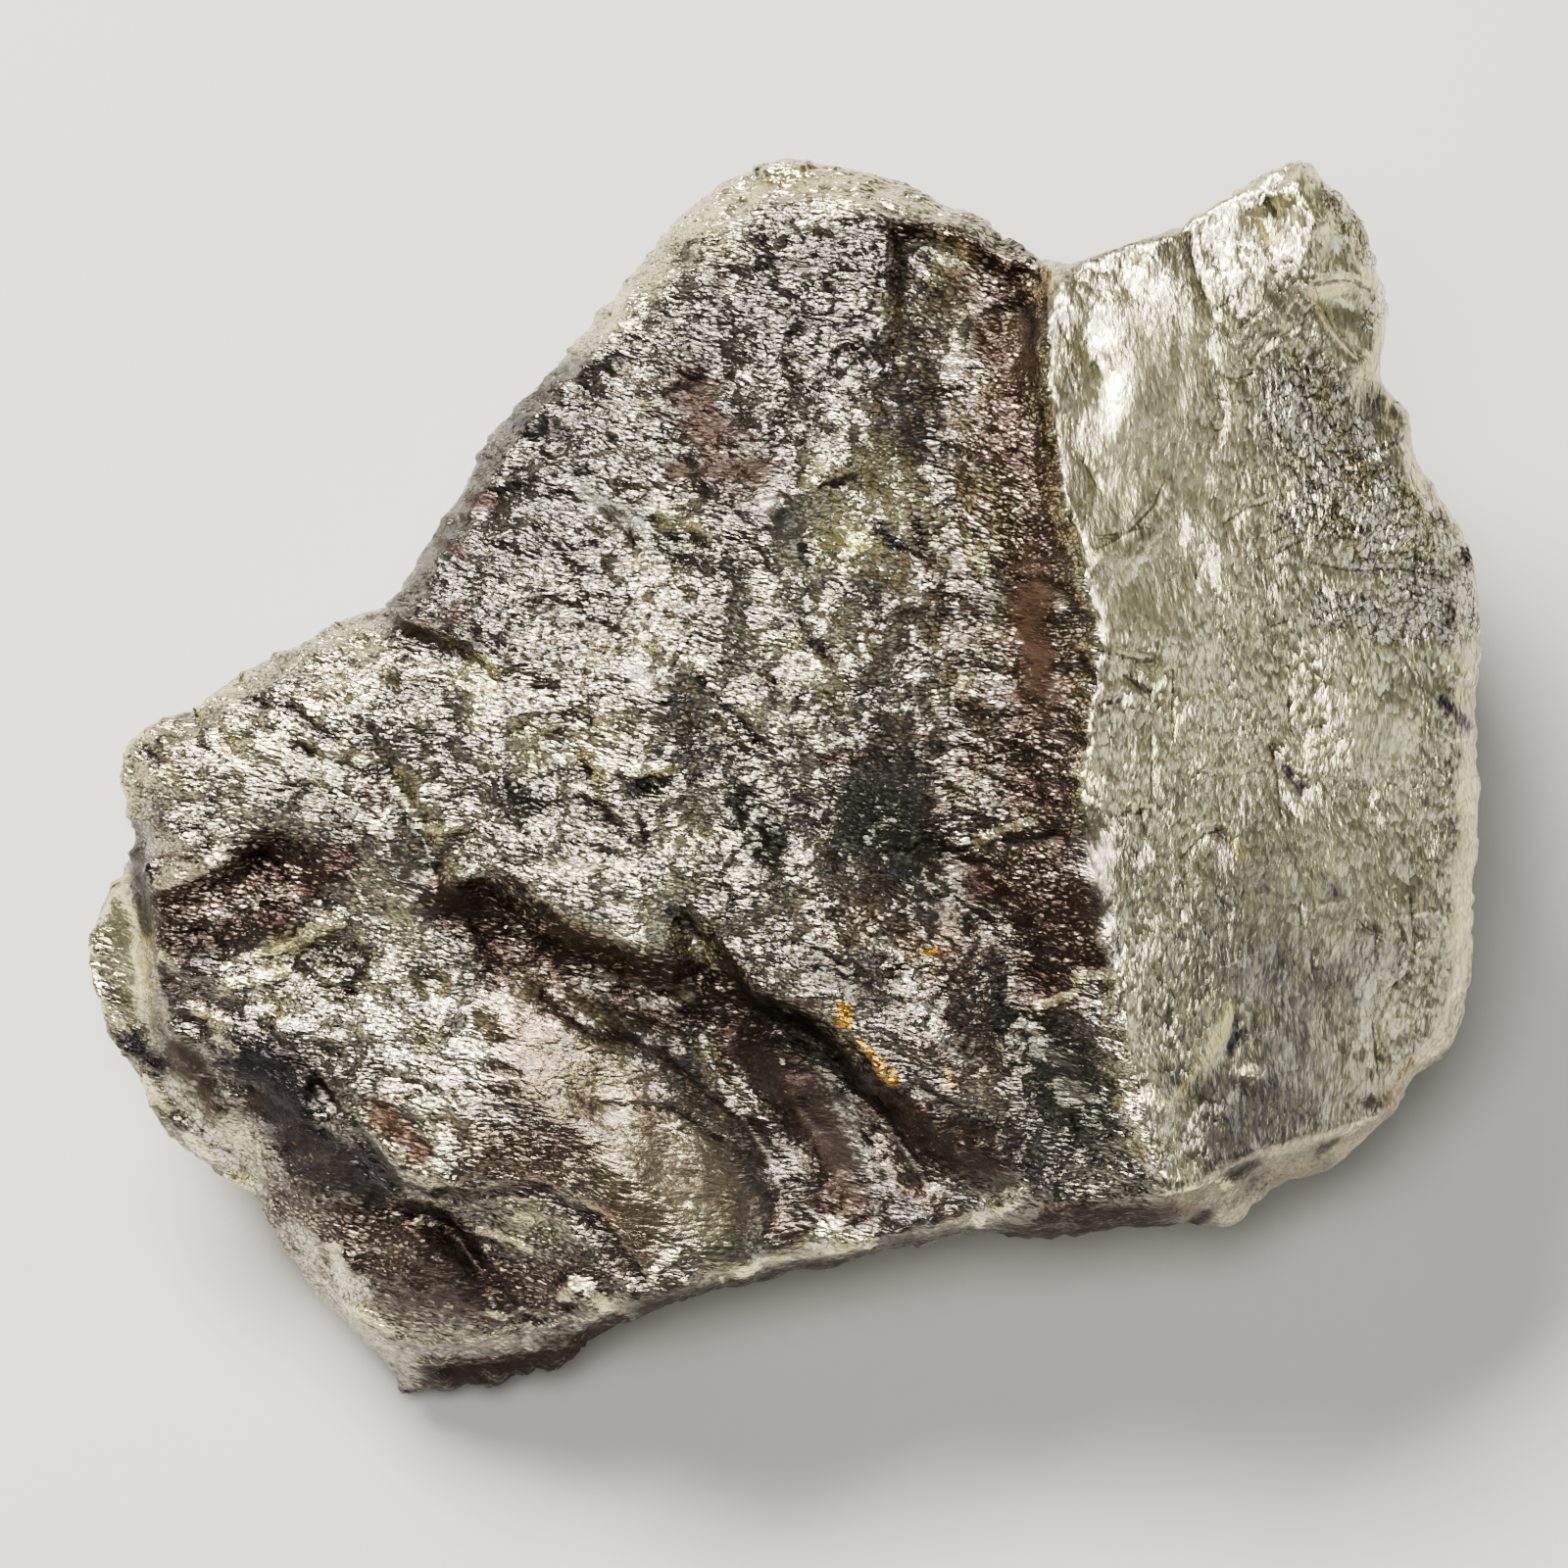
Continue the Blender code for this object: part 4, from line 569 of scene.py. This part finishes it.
        (0.7, 1, 4, -7.6, 8.4, -12.6), (0.7, 0.7, 15.6, -6.6, 15.6, -11.4), (0.6, 1, -9, -9.6, -5, -10.4),
    ],
    # where the bare metal is painted lighter, and where darker, than the rest: partly its own tone, partly
    # painted highlight on lit rims and painted shade in hollows
    "light": [
        (0.6, 1.6, 6.1, -1.6, 6.1, -3.2), (1, 2.4, 26, 14.6, 27.4, 11.6), (0.9, 2.4, 28, 5.4, 28.4, 2.2),
        (1.1, 2.6, 2.6, 14.4, 4.6, 11.8), (0.8, 2.2, 18.6, 11, 19, 8), (0.5, 4, 17.6, 18, 18.6, 8, 18, 2),
        (0.6, 3.5, 28, 4, 26.6, 0), (0.9, 1, -32.8, -6, -31.6, -9),
        (1, 1.4, -9.4, 21.8, -6, 25.6, -1, 29, 3, 28.8), (1, 1.6, 25.4, 28, 26.2, 25, 27.4, 22.6),
        (0.6, 0.8, -12.6, -6.6, -10.8, -8.2), (0.5, 1.4, -27.6, -3.4, -24, -1.6), (0.9, 2.4, 2, 7, 2.4, 3),
        (0.5, 1.6, 8.5, 23, 8.5, 20), (0.9, 1.2, -12, -8.4, -10.6, -8.8),
        (0.7, 1.2, 21.2, -10.6, 20.4, -12.4), (1, 2.2, -3, -19, -7, -20.6),
    ],
    "dull_and_shaded": [
        (2, 1.9, 1.6, -13.6, 2.8, -15.6, 5.4, -19.4), (1.3, 1.8, 5, -10.2, 7.2, -12.8),
        (1.8, 1.4, -1.4, -17.4, 0.4, -19.4), (1.1, 2, 8, -15, 10, -18.2),
        (1.3, 1.8, 21.6, -15.6, 21.8, -17.6), (1.9, 2.4, -14.8, 12.2, -13.6, 10),
        (1.2, 1.5, -25, -15, -23.6, -17), (0.8, 2.2, -17.6, -23.8, -15.4, -24.8),
        (1.2, 3.2, -4, 22.4, 2, 21.6), (1.4, 3, -18, 8.6, -14, 13, -10, 17), (1, 1.8, 2, 22, -2, 24),
        (0.8, 3, 22, -9, 24, -16), (0.7, 2.5, 4, 5, 6, -2, 7, -10), (0.5, 2.6, -12, 6, -8, -2),
        (0.8, 2.4, 11, -12, 14, -17), (0.7, 1.6, -28.6, -9.6, -22, -8.4),
        (0.8, 2.6, -12.6, -12.4, -10.6, -14.4), (0.6, 1.6, 16, -20.6, 20, -20),
        (1.3, 1.8, -4.6, 18.6, -3, 16.6, -2, 14), (0.7, 1.6, 5.4, -11, 8, -12), (0.8, 1, 1.6, -15, 2.6, -17),
        (1, 1.4, 16.6, -21, 21.4, -20.8), (0.6, 1.8, 5.6, -11, 7, -13),
    ],
    # painted shade, dark brown, mostly along the shaded undercut lower edge and in the hollows
    "painted_shade": [
        (1, 1, -17, -28.8, -12, -28.2, -8, -26.4),
        (1, 0.9, -6.5, -25.4, 0, -24, 5, -22.9, 12, -21.8, 18, -21.6), (0.8, 0.6, 12.6, -20.8, 17, -20.6),
        (0.75, 0.45, 19.2, -21.5, 20.3, -20.8), (0.7, 0.4, 21.4, -18.8, 22.6, -18.2),
        (0.6, 1.2, -2, -12.4, 1, -16, 3, -19), (0.8, 1.1, 1.6, -15, 2.8, -18), (0.5, 1, 6, -16.4, 9, -18),
        (0.7, 1, -24, -16.8, -20, -19.6), (0.5, 1.2, -28.4, -13.4, -25.4, -14.8),
        (0.5, 0.6, -15.6, -5.8, -12.6, -6.6, -10.4, -8.4), (0.6, 0.5, 25.6, -17.7, 26.5, -17.3),
        (0.5, 1, 12.6, -12.6, 14, -14.6), (0.45, 0.9, 11.6, 10.4, 12.2, 6, 12.6, 2),
        (1, 1.2, -18, -30.4, -10, -28.6, -4, -26.4, 4, -24.2),
        (0.42, 0.8, 17, -21.4, 21, -20.2, 24, -18.6, 27, -17.8), (0.6, 0.6, 13, -22.2, 17, -22.4, 20, -22.2),
        (1, 0.8, 1.6, -23.4, 2.8, -23.4), (0.8, 0.8, 17, -20.8, 18.4, -20.6),
    ],
}


def right_of_ridge(u, v):
    return u > np.interp(v, RIDGE_V, RIDGE_U)


def to_line(places, line):
    """Distance of each place from a line of points u, v, u, v ..., and the side that it lies on."""
    points = np.array(line, float).reshape(-1, 2)
    if len(points) == 1:
        points = np.vstack([points, points + 0.01])
    best = np.full(len(places), 1e9)
    side = np.ones(len(places))
    for start, end in zip(points[:-1], points[1:]):
        run = end - start
        along = np.clip(((places - start) @ run) / (run @ run), 0.0, 1.0)
        away = places - (start + along[:, None] * run)
        far = np.hypot(away[:, 0], away[:, 1])
        nearer = far < best
        best = np.where(nearer, far, best)
        turn = run[0] * away[:, 1] - run[1] * away[:, 0]
        side = np.where(nearer, np.where(turn < 0.0, -1.0, 1.0), side)
    return best, side


def stroke_field(places, strokes):
    """Signed distance from the nearest stroke, in its own half widths, and that stroke's width."""
    field = np.full(len(places), FAR_OFF)
    width = np.full(len(places), 0.2)
    for wide, *line in strokes:
        away, side = to_line(places, line)
        away = away / wide
        closer = away < np.abs(field)
        field = np.where(closer, side * away, field)
        width = np.where(closer, wide, width)
    return field, width


def stain(places, shown, name):
    """The share at each point of a stain, or of a patch of painted light or shade, fading out from its
    strokes; `shown` keeps it to the show face.
    """
    total = np.zeros(len(places))
    for share, wide, *line in STAINS[name]:
        away, _ = to_line(places, line)
        total = np.maximum(total, share * np.exp(-0.7 * (away / wide) ** 2))
    return total * shown


# ---- the lump's shape


def seen_faces(mesh):
    """The faces of the mesh that nothing covers, looking square at the show face."""
    tree = BVHTree.FromBMesh(mesh)
    shown = []
    for face in mesh.faces:
        start = face.calc_center_median() + W * 0.00002
        if face.normal.dot(W) > 0.02 and tree.ray_cast(start, W)[0] is None:
            shown.append(face)
    return shown


def pick(thing):
    """Makes an object the only one selected, and the active one."""
    bpy.ops.object.select_all(action="DESELECT")
    thing.select_set(True)
    bpy.context.view_layer.objects.active = thing


def copy_lump():
    """A merged, finely divided copy of the lump; its show faces have material index LEFT."""
    pick(frame["nodes"]["pyrite_mass"])
    bpy.ops.object.duplicate()
    lump = bpy.context.object
    lump.name = "pyrite_lump"
    del lump["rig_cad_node"]
    lump.data.name = "pyrite_lump"
    lump.data.materials.clear()
    bpy.ops.object.mode_set(mode="EDIT")
    bpy.ops.mesh.select_all(action="SELECT")
    bpy.ops.mesh.remove_doubles(threshold=0.000002)
    bpy.ops.mesh.normals_make_consistent(inside=False)
    bpy.ops.mesh.select_all(action="DESELECT")
    edit = bmesh.from_edit_mesh(lump.data)
    for face in seen_faces(edit):
        face.material_index = LEFT
        face.select = True
    bmesh.update_edit_mesh(lump.data)
    bpy.ops.mesh.subdivide(number_cuts=SHOW_CUTS)
    bpy.ops.mesh.select_all(action="INVERT")
    bpy.ops.mesh.subdivide(number_cuts=WALL_CUTS)
    bpy.ops.mesh.select_all(action="SELECT")
    bpy.ops.mesh.quads_convert_to_tris()
    bpy.ops.object.mode_set(mode="OBJECT")
    return lump


def shown_share(mesh):
    """How much of what surrounds each point is show face, from 0 to 1."""
    shown = np.zeros(len(mesh.vertices))
    faces_at = np.zeros(len(mesh.vertices))
    for face in mesh.polygons:
        for corner in face.vertices:
            shown[corner] += face.material_index == LEFT
            faces_at[corner] += 1.0
    return shown / faces_at


def face_places(mesh):
    """Each point as u, v, w."""
    return np.array([in_face(vertex.co)[:] for vertex in mesh.vertices])


def off_floor(mesh, fade):
    """0 for the points on the floor and 1 for those more than `fade` metres above it."""
    heights = np.array([vertex.co.z for vertex in mesh.vertices])
    return np.clip((heights - FLOOR_SKIN) / fade, 0.0, 1.0)


def smooth_points(lump, name, weights, times):
    """Smooths each point of the lump as much as its weight says."""
    group = lump.vertex_groups.new(name=name)
    for index in np.flatnonzero(weights):
        group.add([int(index)], float(weights[index]), "REPLACE")
    smooth = lump.modifiers.new(name, "SMOOTH")
    smooth.factor = 0.5
    smooth.iterations = times
    smooth.vertex_group = name
    bpy.context.view_layer.objects.active = lump
    bpy.ops.object.modifier_apply(modifier=name)


def bent(place, rate, reach):
    """The place pushed about by up to `reach` mm, so that a pattern laid on it doesn't run straight."""
    return place + noise.noise_vector(place * rate) * reach


def swell(place, fade=0.7, layers=3):
    """Soft ups and downs about zero."""
    return noise.fractal(place, fade, 2.0, layers)


def crackle(place, size):
    """Pillow height of a cell pattern: 0 in its grooves and 1 on its cells."""
    near, _ = noise.voronoi(place / size)
    return min(1.0, (near[1] - near[0]) * 1.6)


def plates(place, size, tip=0.0):
    """Height of flat chips, each cell tilted its own way and all of them tipped up the face."""
    _, seeds = noise.voronoi(place / size)
    seed = seeds[0] * size
    tilt = noise.noise_vector(seed * 3.7 + Vector((5.0, 1.0, 9.0)))
    tilt.y -= tip
    return (place - seed).dot(tilt)


def grain_relief(grain, pillow, swelling, swell_rate, broad_chips, small_chips):
    """Height in mm of one kind of grain; chips are given as steepness, size and tip."""
    height = pillow * crackle(grain, PILLOW_SIZE)
    height += swelling * swell(grain * swell_rate)
    for (steep, size, tip), chipped in ((broad_chips, grain + ASIDE), (small_chips, grain)):
        height += steep * plates(chipped, size, tip)
    return height


def face_relief(u, v, w, calm):
    """Fine relief of the show face."""
    x, y, z = bent(Vector((u, v, w)), 0.45, 0.5)
    if right_of_ridge(u, v):
        grain = Vector((x * 1.7, y * 0.7, z))
        return calm * grain_relief(grain, 0.04, 0.08, 0.6, (0.10, 2.4, 0.1), (0.07, 0.9, 0.0))
    grain = Vector(((x - y * RELIEF_TURN) * 0.8, (y + x * RELIEF_TURN) * 1.5, z))
    return calm * grain_relief(grain, 0.07, 0.12, 0.9, (0.17, 2.2, 0.35), (0.13, 0.8, 0.30))


def wall_relief(place, away):
    """Hackly relief of the broken walls, deeper away from the show face."""
    place = bent(place, 0.4, 0.6)
    height = 0.12 * crackle(place, 1.1)
    height += 0.24 * swell(place * 0.8)
    height += (0.34 + away * 0.08) * plates(place, WALL_CHIP)
    height += away * (0.45 * plates(place + ASIDE * 1.5, WALL_BREAK) - 0.3)
    return max(-WALL_DEPTH, min(WALL_RISE, height))


def in_patch(u, v, patch):
    """1 in the middle of a soft round patch, fading to 0 about it."""
    (middle_u, middle_v), (spread_u, spread_v) = patch
    return math.exp(-(((u - middle_u) / spread_u) ** 2 + ((v - middle_v) / spread_v) ** 2))


def relief_kept(u, v):
    """How much of the fine relief a place keeps."""
    right = 0.3 if right_of_ridge(u, v) else 0.0
    return max(0.18, 1.0 - 0.75 * in_patch(u, v, BULGE) - 0.3 * in_patch(u, v, LOWER_RIGHT) - right)


def relief(places, shown, calm):
    """Height in mm of the fine relief at each point."""
    show_face = kdtree.KDTree(len(places))
    for index in np.flatnonzero(shown):
        show_face.insert(places[index], int(index))
    show_face.balance()
    heights = np.zeros(len(places))
    for index, (u, v, w) in enumerate(places):
        part = shown[index]
        if part > 0.0:
            heights[index] += part * face_relief(u, v, w, relief_kept(u, v) * calm[index])
        if part < 1.0:
            away = min(1.0, show_face.find((u, v, w))[2] / WALL_START)
            heights[index] += (1.0 - part) * wall_relief(Vector((u, v, w)), away)
    return heights


def carve_strokes(flat):
    """Height in mm of the strokes at each u, v, and the distance from each kind of stroke."""
    crack, crack_wide = stroke_field(flat, CRACKS)
    pit, pit_wide = stroke_field(flat, PITS_AND_SHADOWS)
    flake, flake_wide = stroke_field(flat, FLAKES)
    sharp, sharp_wide = stroke_field(flat, LIT_EDGES)
    heights = -CRACK_DEPTH * np.exp(-((crack * crack_wide / CRACK_REACH) ** 2))
    heights -= (0.10 + 0.24 * pit_wide) * np.exp(-((pit / (1.0 + 0.08 / pit_wide)) ** 2))
    heights += (0.02 + 0.22 * flake_wide) * np.clip(1.6 - np.abs(flake), 0.0, 1.0)
    heights += EDGE_HEIGHT * np.exp(-((sharp * sharp_wide / EDGE_REACH) ** 2))
    return heights, np.column_stack([crack, np.abs(pit), np.abs(flake), sharp])


def shape_lump(lump):
    """Softens the facets and carves the fine relief and the strokes into the lump."""
    mesh = lump.data
    shown = shown_share(mesh)
    mesh.polygons.foreach_set("material_index", [WALL] * len(mesh.polygons))
    smooth_points(lump, "soften", off_floor(mesh, 0.0006), 5)
    worn = stain(face_places(mesh)[:, :2], shown, "calm")
    smooth_points(lump, "wear", np.where(worn > 0.05, worn, 0.0), 60)
    places = face_places(mesh)
    carved, strokes = carve_strokes(places[:, :2])
    heights = relief(places, shown, 1.0 - 0.8 * worn) + shown * carved
    normals = [normal.vector.copy() for normal in mesh.vertex_normals]
    for vertex, normal, move in zip(mesh.vertices, normals, heights * off_floor(mesh, 0.0010) * MM):
        vertex.co += normal * float(move)
        vertex.co.z = max(0.0, vertex.co.z)
    return shown, places, np.where(shown[:, None] > 0.5, strokes, FAR_OFF)


def keep_inside(lump):
    """Pulls the few points that stand out of the lump's box back to it."""
    low, high = CAD_BOX
    for vertex in lump.data.vertices:
        for axis in range(3):
            vertex.co[axis] = min(high[axis], max(low[axis], vertex.co[axis]))


def store(lump, name, rows, domain="POINT"):
    """Three numbers for each point or face corner, kept with the piece for its finish."""
    layer = lump.data.attributes.new(name, "FLOAT_VECTOR", domain)
    layer.data.foreach_set("vector", np.array(rows, np.float32).ravel())


# ---- the lump's finish


def grain_rows(places, corners, parts):
    """The place in the metal's grain at each face corner; the grain runs its own way in each part."""
    points = []
    for place in places:
        point = Vector(place)
        points.append(bent(point, 0.14, 0.7) + noise.noise_vector(point * 0.6) * 0.14)
    points = np.array(points)[corners]
    u, v, w = points.T
    turned = np.column_stack([u - v * GRAIN_TURN, v + u * GRAIN_TURN, w])
    rows = np.where((parts == LEFT)[:, None], turned * LEFT_SCALES, points * WALL_SCALES)
    return np.where((parts == RIGHT)[:, None], points * RIGHT_SCALES, rows)


def scale_cells(net, grain):
    """The metal's scales: way to a scale's edge and to its group's, its chance, and the place on it."""
    ripple = net.noise_node(grain, 1.4, 1.0).outputs["Color"]
    rippled = net.vector("ADD", grain, net.scaled(ripple, 0.7))
    cell = net.cells(rippled, 1.0)
    dome = net.vector("SUBTRACT", rippled, cell["Position"])
    return net.borders(rippled, 1.0), net.borders(rippled, 0.34), cell["Color"], dome


def crazing(net, place):
    """Way to the nearest thread of a fine web, in its cells."""
    bend = net.noise_node(place, 1100.0, 1.0).outputs["Color"]
    return net.borders(net.vector("ADD", place, net.scaled(bend, 0.0007)), 2500.0)


def leaning_normal(net, grain, chance, dome, sway, fuss, dim, bright):
    """The way the surface looks: a low bump, scales that lean apart, and flakes turned to the light."""
    height = net.noise(grain, 1.1, 2.0, 0.6)
    settings = {"Strength": 0.3 + 0.6 * fuss, "Distance": BUMP_HEIGHT, "Height": height}
    bump = net.node("ShaderNodeBump", {}, settings).outputs[0]
    apart = net.scaled(net.vector("SUBTRACT", chance, HALF), 0.5)
    broad = net.scaled(net.vector("SUBTRACT", sway, HALF), 2.4)
    tilt = net.vector("ADD", net.vector("MULTIPLY", dome, DOME), net.vector("ADD", apart, broad))
    lean = net.scaled(tilt, (0.08 + fuss * 0.46) * (1.0 - dim * 0.45))
    glance = net.scaled(tuple(U * -0.10 + V * 0.20), bright)
    return net.vector("NORMALIZE", net.vector("ADD", net.vector("ADD", bump, lean), glance))


def tarnished_and_shaded(net, tone, dim, covers):
    """Colours of the ground and of the scales on it, under each kind of tarnish and under the painted shade.
    """
    ground = net.mix(tone.ramp(0.2, 0.9), DARK_GROUND, LIGHT_GROUND)
    metal = net.mix(tone.ramp(0.1, 0.8), DULL_METAL, BRIGHT_METAL)
    for name, cover in covers.items():
        share, low, high = TARNISH_AND_SHADE[name]
        ground = net.mix(cover * share, ground, low)
        metal = net.mix(cover * share, metal, high)
    return ground, net.mix(dim * 0.65, metal, DIM_METAL)


def pyrite_finish():
    net = Net("pyrite")
    grain = net.stored("grain")
    sharp, right, cloud = net.split(net.stored("zones"))
    plum_and_shade, rust, blue = net.split(net.stored("dark_stains_and_shade"))
    gold, lemon, pale = net.split(net.stored("bright_stains_and_highlight"))
    rose, green, calm = net.split(net.stored("stains_soft"))
    light, grit, painted_shade = net.split(net.stored("metal"))
    crack, pit, flake = net.split(net.stored("strokes"))
    place = net.node("ShaderNodeTexCoord").outputs["Object"]

    edge, group, chance, dome = scale_cells(net, grain)
    hue, luck, _ = net.split(chance)
    _, rise, _ = net.split(dome)
    fibre = net.noise(net.vector("MULTIPLY", grain, FIBRE), 1.0, 3.0, 0.6)
    drift = net.noise(grain, 0.11, 2.0, 0.5)
    waves = net.noise_node(grain, 0.34, 2.0, 0.6).outputs
    soft = Value(net, waves["Fac"])
    speck = net.noise(grain, 1.5, 2.0, 0.6)
    web = crazing(net, place)
    blotch = net.noise(place, 560.0, 4.0, 0.65)

    # how unquiet the metal is: 1 where its scales show fully, least where it is worn or green
    gritty = (grit + (soft - 0.5) * 0.8).ramp(0.35, 0.6)
    fuss = (1.0 - calm * 0.90 - green * 0.35 - right * 0.50 * (1.0 - gritty)).math("MAXIMUM", 0.10)

    def stained(weight, low=0.25, high=0.80):
        worn = (soft - 0.5) * 0.8 + (speck - 0.5) * 1.2
        return (weight + worn).ramp(low, high)

    # Of these, the pale stain is partly painted highlight on the lit rims, the plum stain partly painted
    # shade, and the dark brown of the underside and hollows is painted shade.
    pale, green, rose = stained(pale, 0.2, 0.9), stained(green, 0.15, 0.95), stained(rose, 0.1, 1.0)
    plum_and_shade, rust, blue = stained(plum_and_shade), stained(rust, 0.4, 0.95), stained(blue)
    painted_shade = stained(painted_shade, 0.30, 1.05)

    # the strokes, with ragged edges: flakes and lit edges as painted highlight, pits as painted shade
    ragged = (speck - 0.5) * 1.6 + (luck - 0.5) * 0.8
    bright = (flake + ragged).ramp(1.25, 0.80)
    dark = (pit + ragged).ramp(1.30, 0.60)
    thin = abs(crack + (speck - 0.5) * 1.5).ramp(1.3, 0.6)
    glint = abs(sharp + (speck - 0.5) * 1.5).ramp(1.4, 0.7)
    glint = glint * (soft + (speck - 0.5) * 1.5).ramp(0.40, 0.50)

    # tone: how much of the ground the bright scales cover. Flakes and lit edges raise it as painted
    # highlight; pits and the dark brown of the underside lower it as painted shade, the plum stain partly
    # so; the lighter and duller patches are partly painted light and shade.
    uneven = (cloud - 0.5) * 0.40 + (drift - 0.5) * 0.45 + (soft - 0.5) * 0.20 + (speck - 0.5) * 0.55
    uneven = uneven * (1.0 - right * 0.5) * (1.0 - calm * 0.5)
    tone = 0.41 + bright * 0.40 + glint * 0.30 - dark * 0.35 + uneven + light * 0.20 + right * 0.13
    tone = tone + pale * 0.22 - green * 0.22 - rose * 0.02 - plum_and_shade * 0.28 - rust * 0.42 - blue * 0.32
    tone = tone - painted_shade * 0.4
    dim = tone.ramp(0.12, -0.25)
    wider = ((tone - 0.54) * 0.50).math("MINIMUM", 0.085)
    # each scale is covered more towards its upper side than at its lower edge: painted light from above and
    # painted shade under each scale
    scaly = (edge + wider + (hue - 0.5) * 0.16 + rise * 0.14).ramp(0.01, 0.18)
    streaks = ((fibre - 0.5) + (speck - 0.5) * 0.8) * (0.35 + right * 0.75)
    plain = (tone + streaks).ramp(0.05, 0.90)
    cover = scaly * fuss + plain * (1.0 - fuss)

    covers = dict(green=green, rose=rose, plum_and_shade=plum_and_shade, rust=rust, blue=blue, painted_shade=painted_shade)
    ground, metal = tarnished_and_shaded(net, tone, dim, covers)
    seam = group.ramp(0.060, 0.010) * speck.ramp(0.40, 0.58)
    colour = net.mix(cover, ground, metal)
    # the flakes' colour is painted highlight, and the pits' and the cracks' dark is painted shade
    for share, paint in (
        (stained(lemon) * 0.75, LEMON),
        ((gold + (speck - 0.5) * 2.2).ramp(0.40, 0.75) * 0.90, GOLD),
        (gritty * blotch.ramp(0.60, 0.44) * 0.75, GRIT_GLINT),
        (gritty * (blotch + (speck - 0.5) * 0.4).ramp(0.56, 0.66) * 0.55, GRIT_DIRT),
        (gritty * (web + (speck - 0.5) * 0.45).ramp(0.12, 0.0) * 0.80, GRIT_WEB),
        (seam * (fuss * 0.5 + 0.35) * 0.78, SEAM),
        (bright * 0.25, FLAKE_HIGHLIGHT),
        (dark * (1.0 - right * 0.6) * 0.36, PIT_SHADE),
        (thin * (1.0 - right * 0.3) * 0.80, CRACK_SHADE),
    ):
        colour = net.mix(share, colour, paint)

    rough = 0.24 + soft * 0.12 + plum_and_shade * 0.06 + rust * 0.2 + painted_shade * 0.4 + right * 0.06 + dim * 0.15
    normal = leaning_normal(net, grain, chance, dome, waves["Color"], fuss, dim, bright)
    net.feed(net.shader.inputs["Base Color"], colour)
    net.feed(net.shader.inputs["Roughness"], rough)
    net.feed(net.shader.inputs["Metallic"], 1.0 - rust * 0.3 - plum_and_shade * 0.1 - painted_shade * 0.8)
    net.feed(net.shader.inputs["Normal"], normal)
    return net.material


def store_marks(lump, places, shown, strokes):
    """Keeps with the lump what its finish needs to know at each point."""
    flat = places[:, :2]
    right = shown * right_of_ridge(flat[:, 0], flat[:, 1])
    clouds = [swell(Vector(place) * 0.25, 0.8) * 0.5 + 0.5 for place in places]
    patches = np.array([swell(Vector(place) * 0.55, layers=4) for place in places])
    weights = {name: stain(flat, 1.0 if name in WALL_STAIN_AND_SHADE else shown, name) for name in STAINS}
    # the lighter and duller patches are partly painted highlight on lit rims and painted shade in hollows
    light = weights["light"] - weights["dull_and_shaded"] + (1.0 - shown) * (0.35 + 2.2 * patches)
    store(lump, "zones", np.column_stack([strokes[:, 3], right, clouds]))
    store(lump, "strokes", strokes[:, :3])
    store(lump, "metal", np.column_stack([light, weights["grit"], weights["painted_shade"]]))
    for name, kinds in {
        "dark_stains_and_shade": ("plum_and_shade", "rust", "blue"),
        "bright_stains_and_highlight": ("gold", "lemon", "pale"),
        "stains_soft": ("rose", "green", "calm"),
    }.items():
        store(lump, name, np.column_stack([weights[kind] for kind in kinds]))


def make_lump():
    lump = copy_lump()
    parts = np.array([face.material_index for face in lump.data.polygons])
    shown, places, strokes = shape_lump(lump)
    keep_inside(lump)
    corners = np.array([face.vertices for face in lump.data.polygons])
    middles = places[corners].mean(1)
    parts[(parts == LEFT) & right_of_ridge(middles[:, 0], middles[:, 1])] = RIGHT
    store(lump, "grain", grain_rows(places, corners.ravel(), np.repeat(parts, 3)), "CORNER")
    store_marks(lump, places, shown, strokes)
    lump.data.materials.append(pyrite_finish())
    lump.vertex_groups.clear()
    pick(lump)
    bpy.ops.object.shade_smooth()
    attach(lump, "root")
    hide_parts("pyrite_mass")


noise.seed_set(SEED)
set_camera()
set_stage()
make_lump()
